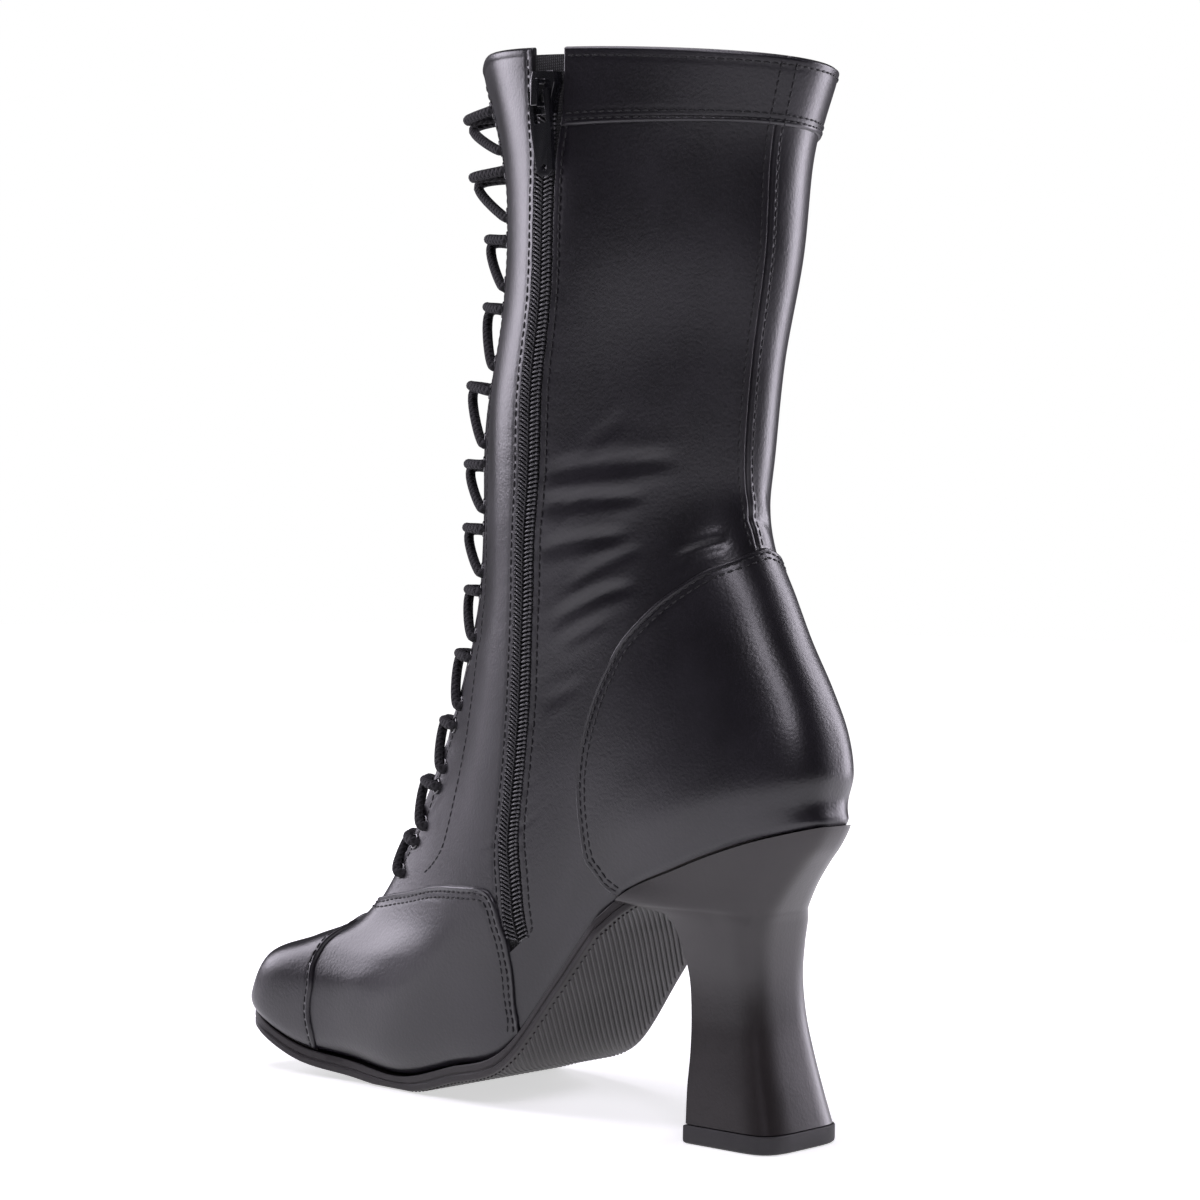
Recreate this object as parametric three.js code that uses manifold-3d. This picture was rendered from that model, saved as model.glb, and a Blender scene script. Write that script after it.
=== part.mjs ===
// A right lace-up boot with a waisted heel, a side zip on the medial side and a punched throat.
// Millimetres. +X runs to the toe, +Y to the medial side, +Z up. The origin is the middle of the top-lift on the floor.
import * as THREE from 'three';
import Module from 'manifold-3d';
import { mergeVertices } from 'three/addons/utils/BufferGeometryUtils.js';

const wasm = await Module();
wasm.setup();

// Driving sizes of the last
const stickLength = 218;
const seatHeight = 90;
const toeHeight = 19.3;
const bootHeight = 307;
const ballWidth = 74;
const ankleWidth = 64;
const shaftWidth = 87;

// Leather, tongue and insole
const wall = 1.8;
const skinDepth = 0.6;
const overlay = 0.8;
const tongueThickness = 1.2;
const tongueWidth = 38;
const insoleThickness = 2;
const insoleInset = 3.2;
const clearance = 0.3;

// Sole and heel
const soleThickness = 5.5;
const treadFlat = 0.9;
const soleOverhang = 1.2;
const sideGroove = 0.5;
const liftThickness = 5.2;
const liftLength = 29;
const liftWidth = 34;
const heelWaistWidth = 26;
const wingReach = 68;
const wingThickness = 5;
const soleUnderHeel = 23;

// Throat and lace
const throatStart = 4.72;
const throatGap = 16;
const laceDiameter = 3;
const eyeletInset = 5.5;

// Zip
const zipFoot = 2.42;
const coilWidth = 6.4;
const coilHeight = 2.4;
const tapeWidth = 22;
const tapeThickness = 0.7;
const windowMargin = 1.2;
const zipMouth = 11.4;
const sliderLength = 12;
const sliderWidth = 9;
const sliderTop = 1.6;
const bridgeHeight = 3.4;
const bridgeWidth = 2.4;
const bridgeLength = 7.4;
const bridgeBar = 1.2;
const pinDiameter = 1.4;
const tabLength = 23;
const tabWidth = 7.2;
const tabThickness = 1.4;
const tabLean = 9;

const forefootHeight = soleThickness - treadFlat;

// The last as fourteen loops from the feather edge to the collar. Lengths are shares of the stick length, heights
// are shares of what lies above the seat (back) or above the toe (front), and widths are shares of half the named width.
const lastColumns = ['of', 'backX', 'backZ', 'frontX', 'frontZ', 'heel', 'waist', 'ball', 'toe',
  'heelRound', 'toeRound', 'arch'];
const lastTable = [
  [ballWidth, -0.120, 0, 0.880, 0, 0.638, 0.742, 0.892, 0.747, 0.63, 0.63, 1],
  [ballWidth, -0.112, 0.027, 0.888, 0.017, 0.767, 0.738, 1.006, 0.842, 0.67, 0.63, 0.92],
  [ballWidth, -0.117, 0.066, 0.859, 0.058, 0.838, 0.782, 1.014, 0.850, 0.70, 0.66, 0.80],
  [ballWidth, -0.106, 0.117, 0.781, 0.080, 0.840, 0.805, 0.977, 0.780, 0.74, 0.74, 0.64],
  [ballWidth, -0.081, 0.172, 0.697, 0.108, 0.823, 0.808, 0.921, 0.694, 0.80, 0.85, 0.48],
  [ballWidth, -0.047, 0.231, 0.636, 0.170, 0.808, 0.810, 0.865, 0.628, 0.84, 0.92, 0.34],
  [ballWidth, -0.019, 0.288, 0.581, 0.267, 0.782, 0.811, 0.839, 0.590, 0.88, 1.07, 0.22],
  [ankleWidth, 0.011, 0.347, 0.535, 0.356, 0.898, 0.969, 0.972, 0.719, 0.92, 1.17, 0.12],
  [ankleWidth, 0.022, 0.403, 0.507, 0.441, 0.897, 1.000, 1.005, 0.752, 0.96, 1.27, 0.05],
  [ankleWidth, 0.016, 0.470, 0.500, 0.523, 0.929, 1.063, 1.062, 0.789, 0.98, 1.33, 0],
  [shaftWidth, 0.003, 0.589, 0.497, 0.628, 0.723, 0.853, 0.833, 0.606, 1.01, 1.33, 0],
  [shaftWidth, -0.018, 0.716, 0.466, 0.755, 0.792, 0.924, 0.865, 0.613, 1.00, 1.35, 0],
  [shaftWidth, -0.030, 0.849, 0.462, 0.879, 0.851, 0.967, 0.923, 0.668, 1.01, 1.36, 0],
  [shaftWidth, -0.064, 0.956, 0.505, 0.999, 0.948, 1.003, 1.001, 0.760, 1.00, 1.29, 0],
];
const topRow = lastTable.length - 1;

// Height of the feather edge above the forefoot, from heel to toe, as shares of the seat's or the toe's height
const seatRise = seatHeight - forefootHeight;
const toeRise = toeHeight - forefootHeight;
const featherLine = [
  ...[1, 0.930, 0.835, 0.711, 0.432, 0.152, 0.066, 0].map((share) => forefootHeight + share * seatRise),
  ...[0.14, 0.34, 1].map((share) => forefootHeight + share * toeRise),
];
// Side offset of the last's centre line from heel to toe, in shares of the ball width, medial side positive
const centreLine = [0.055, -0.030, -0.153, -0.184, 0.115].map((share) => share * ballWidth);
const widthStations = [0, 0.10, 0.40, 0.70, 0.92, 1];

const lastRows = lastTable.map((cells) => {
  const row = Object.fromEntries(lastColumns.map((name, i) => [name, cells[i]]));
  const half = row.of / 2;
  return {
    backX: row.backX * stickLength,
    frontX: row.frontX * stickLength,
    backZ: seatHeight + row.backZ * (bootHeight - seatHeight),
    frontZ: toeHeight + row.frontZ * (bootHeight - toeHeight),
    heel: row.heel * half,
    waist: row.waist * half,
    ball: row.ball * half,
    toe: row.toe * half,
    heelRound: row.heelRound,
    toeRound: row.toeRound,
    arch: row.arch,
  };
});

// Smooth value between the rows of the last
function alongRows(name, row) {
  const i = Math.min(Math.max(Math.floor(row), 0), topRow - 1);
  const f = row - i;
  const p1 = lastRows[i][name];
  const p2 = lastRows[i + 1][name];
  const p0 = i > 0 ? lastRows[i - 1][name] : 2 * p1 - p2;
  const p3 = i < topRow - 1 ? lastRows[i + 2][name] : 2 * p2 - p1;
  return 0.5 * (2 * p1 + (p2 - p0) * f + (2 * p0 - 5 * p1 + 4 * p2 - p3) * f ** 2
    + (3 * p1 - p0 - 3 * p2 + p3) * f ** 3);
}

// Smooth curve through values at uneven stations
function through(stations, values, at) {
  const last = stations.length - 1;
  const x = Math.min(Math.max(at, stations[0]), stations[last]);
  const slope = (i) => {
    const a = Math.max(i - 1, 0);
    const b = Math.min(i + 1, last);
    return (values[b] - values[a]) / (stations[b] - stations[a]);
  };
  let i = 0;
  while (i < last - 1 && x > stations[i + 1]) i += 1;
  const step = stations[i + 1] - stations[i];
  const f = (x - stations[i]) / step;
  return (2 * f ** 3 - 3 * f ** 2 + 1) * values[i] + (f ** 3 - 2 * f ** 2 + f) * step * slope(i)
    + (3 * f ** 2 - 2 * f ** 3) * values[i + 1] + (f ** 3 - f ** 2) * step * slope(i + 1);
}
const evenly = (values, share) => through(values.map((_, i) => i / (values.length - 1)), values, share);

// Point on the last. Turn runs from the back centre (0) over the medial side to the front (1) and on to the back (2).
function lastPoint(row, turn) {
  const angle = Math.PI * turn;
  const share = (1 - Math.cos(angle)) / 2;
  const value = (name) => alongRows(name, row);
  const [first, last] = [featherLine[0], featherLine[featherLine.length - 1]];
  const archRise = evenly(featherLine, share) - (first + (last - first) * share);
  const heel = value('heel');
  const toe = value('toe');
  const half = through(widthStations, [heel, heel, value('waist'), value('ball'), toe, toe], share);
  const round = value('heelRound') + (value('toeRound') - value('heelRound')) * share;
  const side = Math.sin(angle);
  return new THREE.Vector3(
    value('backX') + (value('frontX') - value('backX')) * share,
    evenly(centreLine, share) * value('arch') + half * Math.sign(side) * Math.abs(side) ** round,
    value('backZ') + (value('frontZ') - value('backZ')) * share + value('arch') * archRise,
  );
}

// Steps along the last's surface, in millimetres for each row and each turn
const rowStep = 0.01;
const turnStep = 0.004;
const upwards = (row, turn) => lastPoint(row + rowStep, turn)
  .sub(lastPoint(row - rowStep, turn)).divideScalar(2 * rowStep);
const around = (row, turn) => lastPoint(row, turn + turnStep)
  .sub(lastPoint(row, turn - turnStep)).divideScalar(2 * turnStep);
const outward = (row, turn) => upwards(row, turn).cross(around(row, turn)).normalize();

function skin(row, turn, offset = 0) {
  return lastPoint(row, turn).addScaledVector(outward(row, turn), offset);
}

// The row and turn that lie a given way off, by a vector in millimetres laid on the surface
function beside([row, turn], way) {
  const up = upwards(row, turn);
  const round = around(row, turn);
  const [uu, ur, rr] = [up.dot(up), up.dot(round), round.dot(round)];
  const [wu, wr] = [way.dot(up), way.dot(round)];
  const det = uu * rr - ur * ur;
  return [row + (wu * rr - wr * ur) / det, turn + (wr * uu - wu * ur) / det];
}

// Row whose height over the floor is z along one turn
function rowAtHeight(z, turn) {
  let [low, high] = [0, topRow];
  for (let i = 0; i < 30; i += 1) {
    const middle = (low + high) / 2;
    if (lastPoint(middle, turn).z < z) low = middle;
    else high = middle;
  }
  return (low + high) / 2;
}

// Closed bodies as lists of points and triangles
function body(points, triangles) {
  let geometry = new THREE.BufferGeometry();
  geometry.setAttribute('position', new THREE.Float32BufferAttribute(points.flatMap((p) => [p.x, p.y, p.z]), 3));
  geometry.setIndex(triangles.flat());
  geometry = mergeVertices(geometry, 1e-3);
  const place = geometry.getAttribute('position');
  const index = geometry.getIndex().array;
  const kept = [];
  let volume = 0;
  const [a, b, c] = [new THREE.Vector3(), new THREE.Vector3(), new THREE.Vector3()];
  for (let i = 0; i < index.length; i += 3) {
    const [p, q, r] = [index[i], index[i + 1], index[i + 2]];
    if (p === q || q === r || r === p) continue;
    kept.push([p, q, r]);
    a.fromBufferAttribute(place, p);
    b.fromBufferAttribute(place, q);
    c.fromBufferAttribute(place, r);
    volume += a.dot(b.clone().cross(c));
  }
  geometry.setIndex((volume < 0 ? kept.map(([p, q, r]) => [p, r, q]) : kept).flat());
  return geometry;
}

const span = (count, from = 0, to = 1) => Array.from({ length: count + 1 }, (_, i) => from + ((to - from) * i) / count);

// A sheet with two faces over a grid of places, closed along its edges. The grid may close on itself along v.
function sheet(us, vs, outer, inner, ring = false) {
  const points = [];
  const triangles = [];
  const columns = vs.length;
  const wrap = ring ? columns : columns - 1;
  for (const face of [outer, inner]) {
    for (const u of us) {
      for (const v of vs) points.push(face(u, v));
    }
  }
  const at = (layer, i, j) => (layer * us.length + i) * columns + (j % columns);
  const quad = (p, q, r, s) => triangles.push([p, q, r], [p, r, s]);
  for (let i = 0; i + 1 < us.length; i += 1) {
    for (let j = 0; j < wrap; j += 1) {
      quad(at(0, i, j), at(0, i, j + 1), at(0, i + 1, j + 1), at(0, i + 1, j));
      quad(at(1, i, j), at(1, i + 1, j), at(1, i + 1, j + 1), at(1, i, j + 1));
    }
  }
  for (let j = 0; j < wrap; j += 1) {
    quad(at(0, 0, j + 1), at(0, 0, j), at(1, 0, j), at(1, 0, j + 1));
    const top = us.length - 1;
    quad(at(0, top, j), at(0, top, j + 1), at(1, top, j + 1), at(1, top, j));
  }
  if (!ring) {
    for (let i = 0; i + 1 < us.length; i += 1) {
      quad(at(0, i, 0), at(0, i + 1, 0), at(1, i + 1, 0), at(1, i, 0));
      const end = columns - 1;
      quad(at(0, i + 1, end), at(0, i, end), at(1, i, end), at(1, i + 1, end));
    }
  }
  return body(points, triangles);
}

// A sheet between two offsets from the last, over places given as row and turn
const leather = (us, vs, where, low, high, ring = false) => sheet(
  us, vs,
  (u, v) => skin(...where(u, v), high),
  (u, v) => skin(...where(u, v), low),
  ring,
);

// A loft through rings of equal count, closed with fans from each end's middle
function loft(rings) {
  const count = rings[0].length;
  const points = rings.flat();
  const triangles = [];
  for (let i = 0; i + 1 < rings.length; i += 1) {
    for (let j = 0; j < count; j += 1) {
      const [p, q] = [i * count + j, i * count + ((j + 1) % count)];
      triangles.push([p, q, q + count], [p, q + count, p + count]);
    }
  }
  for (const [ring, base, turned] of [[rings[0], 0, true], [rings.at(-1), (rings.length - 1) * count, false]]) {
    const middle = points.push(ring.reduce((sum, p) => sum.add(p), new THREE.Vector3()).divideScalar(count)) - 1;
    for (let j = 0; j < count; j += 1) {
      const [p, q] = [base + j, base + ((j + 1) % count)];
      triangles.push(turned ? [middle, q, p] : [middle, p, q]);
    }
  }
  return body(points, triangles);
}

// A flat-lying slab whose two long edges are joined across at each station, such as a sole
function ladder(medial, lateral, levels) {
  const count = medial.length;
  const ring = [...medial, ...lateral.slice().reverse()];
  const points = levels.flatMap((level) => ring.map((p, i) => level(p, i < count)));
  const size = ring.length;
  const triangles = [];
  for (let k = 0; k + 1 < levels.length; k += 1) {
    for (let i = 0; i < size; i += 1) {
      const [p, q] = [k * size + i, k * size + ((i + 1) % size)];
      triangles.push([p, q, q + size], [p, q + size, p + size]);
    }
  }
  for (const [base, turned] of [[0, true], [(levels.length - 1) * size, false]]) {
    for (let i = 0; i + 1 < count; i += 1) {
      const [a, b, c, d] = [base + i, base + i + 1, base + size - 2 - i, base + size - 1 - i];
      triangles.push(...(turned ? [[a, c, b], [a, d, c]] : [[a, b, c], [a, c, d]]));
    }
  }
  return body(points, triangles);
}

function solid(geometry) {
  return new wasm.Manifold(new wasm.Mesh({
    numProp: 3,
    vertProperties: new Float32Array(geometry.getAttribute('position').array),
    triVerts: new Uint32Array(geometry.getIndex().array),
  }));
}
const smallestStep = 0.08;
function geometryOf(made) {
  const mesh = made.simplify(smallestStep).getMesh();
  const geometry = new THREE.BufferGeometry();
  geometry.setAttribute('position', new THREE.BufferAttribute(new Float32Array(mesh.vertProperties), 3));
  geometry.setIndex(new THREE.BufferAttribute(new Uint32Array(mesh.triVerts), 1));
  return geometry;
}
const bare = (geometry) => {
  geometry.deleteAttribute('normal');
  geometry.deleteAttribute('uv');
  return mergeVertices(geometry, 1e-4);
};

// Turns that lie closer together at the heel's back and at the toe
const crowded = (turn) => turn - 0.22 * Math.sin(2 * Math.PI * turn) / Math.PI;

// Where the zip and the throat run
const zipRows = [2.4, 4.5, 5.2, 7.6, 8.3, 9.4, 10.4, 11.6, 12.8, 13.6];
const zipTurns = [0.484, 0.536, 0.541, 0.545, 0.544, 0.525, 0.519, 0.519, 0.497, 0.490];
const zipPlace = (row) => [row, through(zipRows, zipTurns, row)];
function zipAcross(row) {
  const [a, b] = [skin(...zipPlace(row - 0.05)), skin(...zipPlace(row + 0.05))];
  return outward(...zipPlace(row)).cross(b.sub(a)).normalize();
}
const zipSide = (row, millimetres) => beside(zipPlace(row), zipAcross(row).multiplyScalar(millimetres));
const mouthRow = 12.25;
const windowHalf = (row) => {
  const straight = coilWidth / 2 + windowMargin;
  return straight + (zipMouth / 2 - straight) * THREE.MathUtils.smoothstep(row, mouthRow - 0.35, mouthRow + 0.15);
};
const throatHalf = (row) => {
  const rise = Math.min((row - throatStart) / 0.45, 1);
  const rounded = Math.sqrt(Math.max(1 - (1 - rise) ** 2, 0.004));
  const spread = THREE.MathUtils.lerp(0.8, 1.25, THREE.MathUtils.smoothstep(row, throatStart, topRow));
  return (throatGap / 2) * rounded * spread;
};
// Place to one side of the front centre, by its distance across the boot
const frontSide = (row, millimetres) => {
  const place = lastPoint(row, 1);
  let [low, high] = [0, 0.5];
  for (let i = 0; i < 24; i += 1) {
    const middle = (low + high) / 2;
    if (Math.abs(lastPoint(row, 1 - middle).y - place.y) < Math.abs(millimetres)) low = middle;
    else high = middle;
  }
  return [row, 1 - Math.sign(millimetres) * low];
};

// Upper: one hollow wall, with the throat and the zip's window cut out
const cuffLow = 12.22;
const upperRows = [0, 0.5, 1.1, 1.8, 2.5, 3.2, 3.9, 4.6, 5.4, 6.3, 7.2, 8.2, 9.2, 10.2, 11.2, cuffLow, 12.62,
  topRow];
const rowsBetween = (low, high) => [low, ...upperRows.filter((row) => row > low + 0.1 && row < high - 0.1), high];
const halfColumns = 20;
const upperTurns = span(2 * halfColumns, 0, 2).slice(0, -1).map(crowded);
const upperShell = leather(upperRows, upperTurns, (row, turn) => [row, turn], -skinDepth - wall, -skinDepth, true);
const cutDepth = 9;
const throatRows = [throatStart, 4.78, 4.88, 5.0, 5.2, 5.6, 6.2, 7, 7.8, 8.6, 9.4, 10.4, 11.4, 12.4, 13.5];
const throatCut = leather(throatRows, span(4, 1, -1), (row, v) => frontSide(row, v * throatHalf(row) || 1e-6),
  -cutDepth, cutDepth / 2);
const zipRowsCut = [zipFoot, 3, 3.6, 4.3, 5.2, 6.2, 7.2, 8.2, 9.2, 10.4, 11.4, 11.9, 12.4, 13.5];
const zipCut = leather(zipRowsCut, span(2, -1, 1), (row, v) => zipSide(row, v * windowHalf(row)), -5, 4);
const upper = geometryOf(solid(upperShell).subtract(solid(throatCut)).subtract(solid(zipCut)));

// Overlays are cut from one skin over the whole upper, which shares the upper's facets
const overlayLow = clearance - skinDepth;
const overlayHigh = overlayLow + overlay;
const overSkin = solid(leather(upperRows, upperTurns, (row, turn) => [row, turn], overlayLow, overlayHigh, true));
const cutReach = 2.5;
const cutter = (us, vs, where, ring = false) => solid(
  leather(us, vs, where, overlayLow - cutReach, overlayHigh + cutReach, ring),
);

// Half domes over the toe and the heel, and the vamp between the toe cap and the quarters
const capDome = { centre: 1, half: 0.243, top: 4.02, square: 2.3, flare: 0 };
const vampDome = { centre: 1, half: 0.519, top: 4.5, square: 5, flare: 0 };
const counterDome = { centre: 0, half: 0.437, top: 6.95, square: 4, flare: 0.072 };
const flareRow = 4.4;
const footRow = 0.12;
const cutFoot = -0.3;
function domePlace(dome, across, up) {
  const reach = Math.max(Math.abs(across), up);
  const scale = reach === 0 ? 0 : reach / (Math.abs(across) ** dome.square + up ** dome.square) ** (1 / dome.square);
  const row = cutFoot + (dome.top - cutFoot) * up * scale;
  const drawnIn = dome.flare * Math.min(Math.max(1 - row / flareRow, 0), 1) ** 1.3;
  return [row, dome.centre + across * scale * (dome.half - drawnIn)];
}
const domeCutter = (dome) => cutter(span(7), span(16, -1, 1), (up, across) => domePlace(dome, across, up));
const seamGap = 0.024;
const grown = (dome, by) => ({ ...dome, half: dome.half + by / 8, top: dome.top + by });
const footCut = cutter([2 * cutFoot, footRow], upperTurns, (row, turn) => [row, turn], true);
const footed = (made) => made.subtract(footCut);
const toeCap = geometryOf(footed(overSkin.intersect(domeCutter(capDome))));
const counter = geometryOf(footed(overSkin.intersect(domeCutter(counterDome))));
const vamp = geometryOf(footed(overSkin.intersect(domeCutter(vampDome))
  .subtract(domeCutter(grown(capDome, seamGap))).subtract(solid(zipCut))));

// Cuff: a band over the top of the shaft, behind the zip and round to the lateral facing
const cuffHigh = topRow - 0.03;
const edgeMargin = 0.5;
const cuffFrom = (row) => zipSide(row, -windowHalf(row) - edgeMargin)[1];
const cuffTo = (row) => frontSide(row, -throatHalf(row) - edgeMargin)[1] - 2;
const cuffTurns = [-1, ...upperTurns.map((turn) => (turn > 1 ? turn - 2 : turn)).sort((a, b) => a - b), 1]
  .filter((turn) => turn < cuffFrom(topRow) - 0.02 && turn > cuffTo(topRow) + 0.02);
const cuff = leather([cuffLow, 12.62, cuffHigh], span(cuffTurns.length + 1), (row, v) => {
  const place = Math.round(v * (cuffTurns.length + 1));
  if (place === 0) return [row, cuffTo(row)];
  return [row, place > cuffTurns.length ? cuffFrom(row) : cuffTurns[place - 1]];
}, overlayLow, overlayHigh);

// Tongue, behind the throat
const tongueTop = 12.7;
const facetSag = 0.7;
const tongueHigh = -skinDepth - wall - clearance - facetSag;
const tongueFoot = 4.25;
const tongueHalf = (row) => (tongueWidth / 2) * THREE.MathUtils.lerp(0.72, 1, row / topRow);
const tongue = leather(rowsBetween(tongueFoot, tongueTop), span(6, 1, -1),
  (row, v) => frontSide(row, v * tongueHalf(row) || 1e-6), tongueHigh - tongueThickness, tongueHigh);

// Feather edge in plan, with the way out from the last
function featherEdge(turn, grow) {
  const point = lastPoint(0, turn);
  const along = around(0, turn);
  const out = new THREE.Vector2(-along.y, along.x).normalize();
  return new THREE.Vector3(point.x + out.x * grow, point.y + out.y * grow, point.z);
}
const featherHeight = (x) => {
  const share = (x - lastRows[0].backX) / stickLength;
  return evenly(featherLine, share);
};
const turnAt = (x) => {
  const share = THREE.MathUtils.clamp((x - lastRows[0].backX) / stickLength, 0, 1);
  return Math.acos(1 - 2 * share) / Math.PI;
};
// The feather line in the straight steps of the upper's own facets, which sole, seat and insole share
const footTurns = upperTurns.slice(0, halfColumns + 1);
const footX = footTurns.map((turn) => lastPoint(0, turn).x);
function seatLine(x) {
  let i = 0;
  while (i < halfColumns - 1 && x > footX[i + 1]) i += 1;
  const share = (x - footX[i]) / (footX[i + 1] - footX[i]);
  return THREE.MathUtils.lerp(featherHeight(footX[i]), featherHeight(footX[i + 1]), share);
}

// Insole, inside the wall on top of the sole
const insoleEdge = (side) => footTurns.slice(1).map((turn) => featherEdge(side > 0 ? turn : 2 - turn, -insoleInset));
const insoleLevel = (lift) => (p) => new THREE.Vector3(p.x, p.y, seatLine(p.x) + lift);
const insole = ladder(insoleEdge(1), insoleEdge(-1),
  [insoleLevel(clearance), insoleLevel(clearance + insoleThickness)]);

// Outsole, from the heel breast to the toe, with a groove round its side and a flat spot under the forefoot
const wingTip = lastRows[0].backX + wingReach;
const wingRun = 3;
const soleBack = wingTip - soleUnderHeel;
const lowestX = footX.reduce((low, x) => (seatLine(x) < seatLine(low) ? x : low));
const treadEnds = [-0.25, 0.25].map((step) => {
  let x = lowestX;
  while (seatLine(x + step) < soleThickness) x += step;
  return x;
});
const soleTurns = [soleBack, soleBack + wingRun, soleBack + 3 * wingRun, wingTip - wingRun, wingTip + wingRun]
  .concat(treadEnds)
  .map(turnAt)
  .concat(footTurns.filter((turn) => turn > turnAt(soleBack) + 0.004))
  .concat(span(3, 0.93, 0.99))
  .sort((a, b) => a - b)
  .filter((turn, i, all) => i === 0 || turn - all[i - 1] > 1e-4);
// The sole's edge stands out from the feather edge, and draws in between the heel's wings
const insideWing = (x) => {
  const share = THREE.MathUtils.clamp((wingTip + wingRun - x) / (wingRun + soleUnderHeel), 0, 1);
  return soleOverhang - (soleOverhang + wingThickness) * share ** 0.6;
};
const soleEdge = (side, grow = 0) => soleTurns.map((turn) => {
  const x = lastPoint(0, turn).x;
  return featherEdge(side > 0 ? turn : 2 - turn, insideWing(x) + grow);
});
const soleLevel = (share, inset) => (p) => {
  const top = seatLine(p.x) - clearance;
  const bottom = Math.max(seatLine(p.x) - soleThickness, 0);
  const middle = soleCentre(p.x);
  const shrink = 1 - inset / Math.max(Math.abs(p.y - middle), 6);
  return new THREE.Vector3(p.x - (p.x > stickLength * 0.8 ? inset : 0), middle + (p.y - middle) * shrink,
    top + (bottom - top) * share);
};
function soleCentre(x) {
  const turn = turnAt(x);
  return (lastPoint(0, turn).y + lastPoint(0, 2 - turn).y) / 2;
}
const outsole = ladder(soleEdge(1), soleEdge(-1), [
  soleLevel(0, 0.3), soleLevel(0.42, 0), soleLevel(0.46, sideGroove), soleLevel(0.54, sideGroove),
  soleLevel(0.58, 0), soleLevel(1, 0.6),
]);

// Heel: sections up from the top-lift. Back, breast and half width are shares of the sizes under `of`, the height is
// a share of the way up to the seat, and seat says how far the top-lift's square shape has turned into the seat's.
const seatBack = lastPoint(0, 0);
const seatTip = turnAt(wingTip);
const seatFront = lastPoint(0, seatTip);
const seatHalf = seatFront.y - soleCentre(seatFront.x);
const foot = { back: liftLength / 2, breast: liftLength / 2, half: liftWidth / 2 };
const waist = { back: liftLength / 2, breast: liftLength / 2, half: heelWaistWidth / 2 };
const wings = { back: -seatBack.x, breast: wingTip, half: seatHalf };
const heelSections = [
  { of: foot, height: 0, back: 1, breast: 1, half: 1, seat: 0 },
  { of: foot, height: 0.116, back: 0.80, breast: 1.05, half: 0.92, seat: 0 },
  { of: foot, height: 0.233, back: 0.62, breast: 1.06, half: 0.84, seat: 0 },
  { of: waist, height: 0.350, back: 0.48, breast: 1.11, half: 1.01, seat: 0 },
  { of: waist, height: 0.478, back: 0.42, breast: 1.20, half: 1, seat: 0.05 },
  { of: waist, height: 0.585, back: 0.45, breast: 1.36, half: 1.13, seat: 0.15 },
  { of: waist, height: 0.659, back: 0.54, breast: 1.58, half: 1.31, seat: 0.30 },
  { of: wings, height: 0.693, back: 0.344, breast: 0.817, half: 0.80, seat: 0.45 },
  { of: wings, height: 0.712, back: 0.377, breast: 1, half: 0.907, seat: 0.55 },
  { of: wings, height: 0.787, back: 0.543, breast: 1, half: 0.947, seat: 0.78 },
  { of: wings, height: 0.862, back: 0.732, breast: 1, half: 0.973, seat: 0.92 },
  { of: wings, height: 0.931, back: 0.920, breast: 1, half: 0.993, seat: 1 },
  { of: wings, height: 1, back: 1.03, breast: 1, half: 1, seat: 1 },
  { of: wings, height: 1.064, back: 1.03, breast: 1, half: 1, seat: 1 },
];
const heelSteps = span(12);
const heelFoot = liftThickness + clearance;
const cornerRound = 0.45;
function heelOutline(section) {
  const back = -section.back * section.of.back;
  const breast = section.breast * section.of.breast;
  const half = section.half * section.of.half;
  const height = heelFoot + section.height * (seatHeight - heelFoot);
  const mix = THREE.MathUtils.lerp;
  const edge = (side) => heelSteps.map((step) => {
    const quarter = Math.min(step * 2, 1) * Math.PI / 2;
    const squareX = step < 0.5 ? 0.5 * (1 - Math.cos(quarter) ** cornerRound) : step;
    const squareY = step < 0.5 ? Math.sin(quarter) ** cornerRound : 1;
    const turn = step * seatTip;
    const loop = lastPoint(0, side > 0 ? turn : 2 - turn);
    const seatX = (loop.x - seatBack.x) / (seatFront.x - seatBack.x);
    const centre = soleCentre(loop.x);
    const seatY = Math.abs(loop.y - centre) / seatHalf;
    const x = back + (breast - back) * mix(squareX, seatX, section.seat);
    const y = side * half * mix(squareY, seatY, section.seat) + centre * section.seat;
    return new THREE.Vector3(x, y, height);
  });
  return [...edge(1), ...edge(-1).reverse().slice(0, -1)];
}
const heelBody = loft(heelSections.map(heelOutline));
// What lies over the feather edge, and the room for the sole between the wings
const cutOver = 20;
const seatStations = [footX[0] - cutOver, ...footX.filter((x) => x < wingTip + cutOver)];
const seatCut = sheet(seatStations, [-1, 1],
  (x, v) => new THREE.Vector3(x, v * shaftWidth, seatLine(x) + 2 * cutOver),
  (x, v) => new THREE.Vector3(x, v * shaftWidth, seatLine(x) - clearance));
const breastX = waist.breast * heelSections.findLast((section) => section.of === waist).breast;
const roomBack = soleBack - clearance;
const roomStations = [roomBack, breastX - 0.01, breastX, ...span(5, breastX + wingRun, wingTip + 4 * wingRun)];
const roomSide = (x, v) => {
  const turn = turnAt(x);
  return featherEdge(v > 0 ? turn : 2 - turn, insideWing(x) + clearance).y;
};
const roomLow = (x) => (x < breastX ? seatLine(x) - soleThickness - clearance : seatHeight * 0.6);
const soleRoom = sheet(roomStations, [-1, 1],
  (x, v) => new THREE.Vector3(x, roomSide(x, v), seatLine(x) + cutOver),
  (x, v) => new THREE.Vector3(x, roomSide(x, v), roomLow(x)));
const heel = geometryOf(solid(heelBody).subtract(solid(seatCut)).subtract(solid(soleRoom)));

// Top-lift, the rubber piece under the heel, with its lower edge drawn in
const liftEdge = 0.5;
const liftRing = (height, inset) => heelOutline(heelSections[0]).map((p) => new THREE.Vector3(
  p.x - Math.sign(p.x) * inset,
  p.y - Math.sign(p.y) * inset,
  height,
));
const topLift = loft([liftRing(0, liftEdge), liftRing(2 * liftEdge, 0), liftRing(liftThickness, 0)]);

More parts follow.
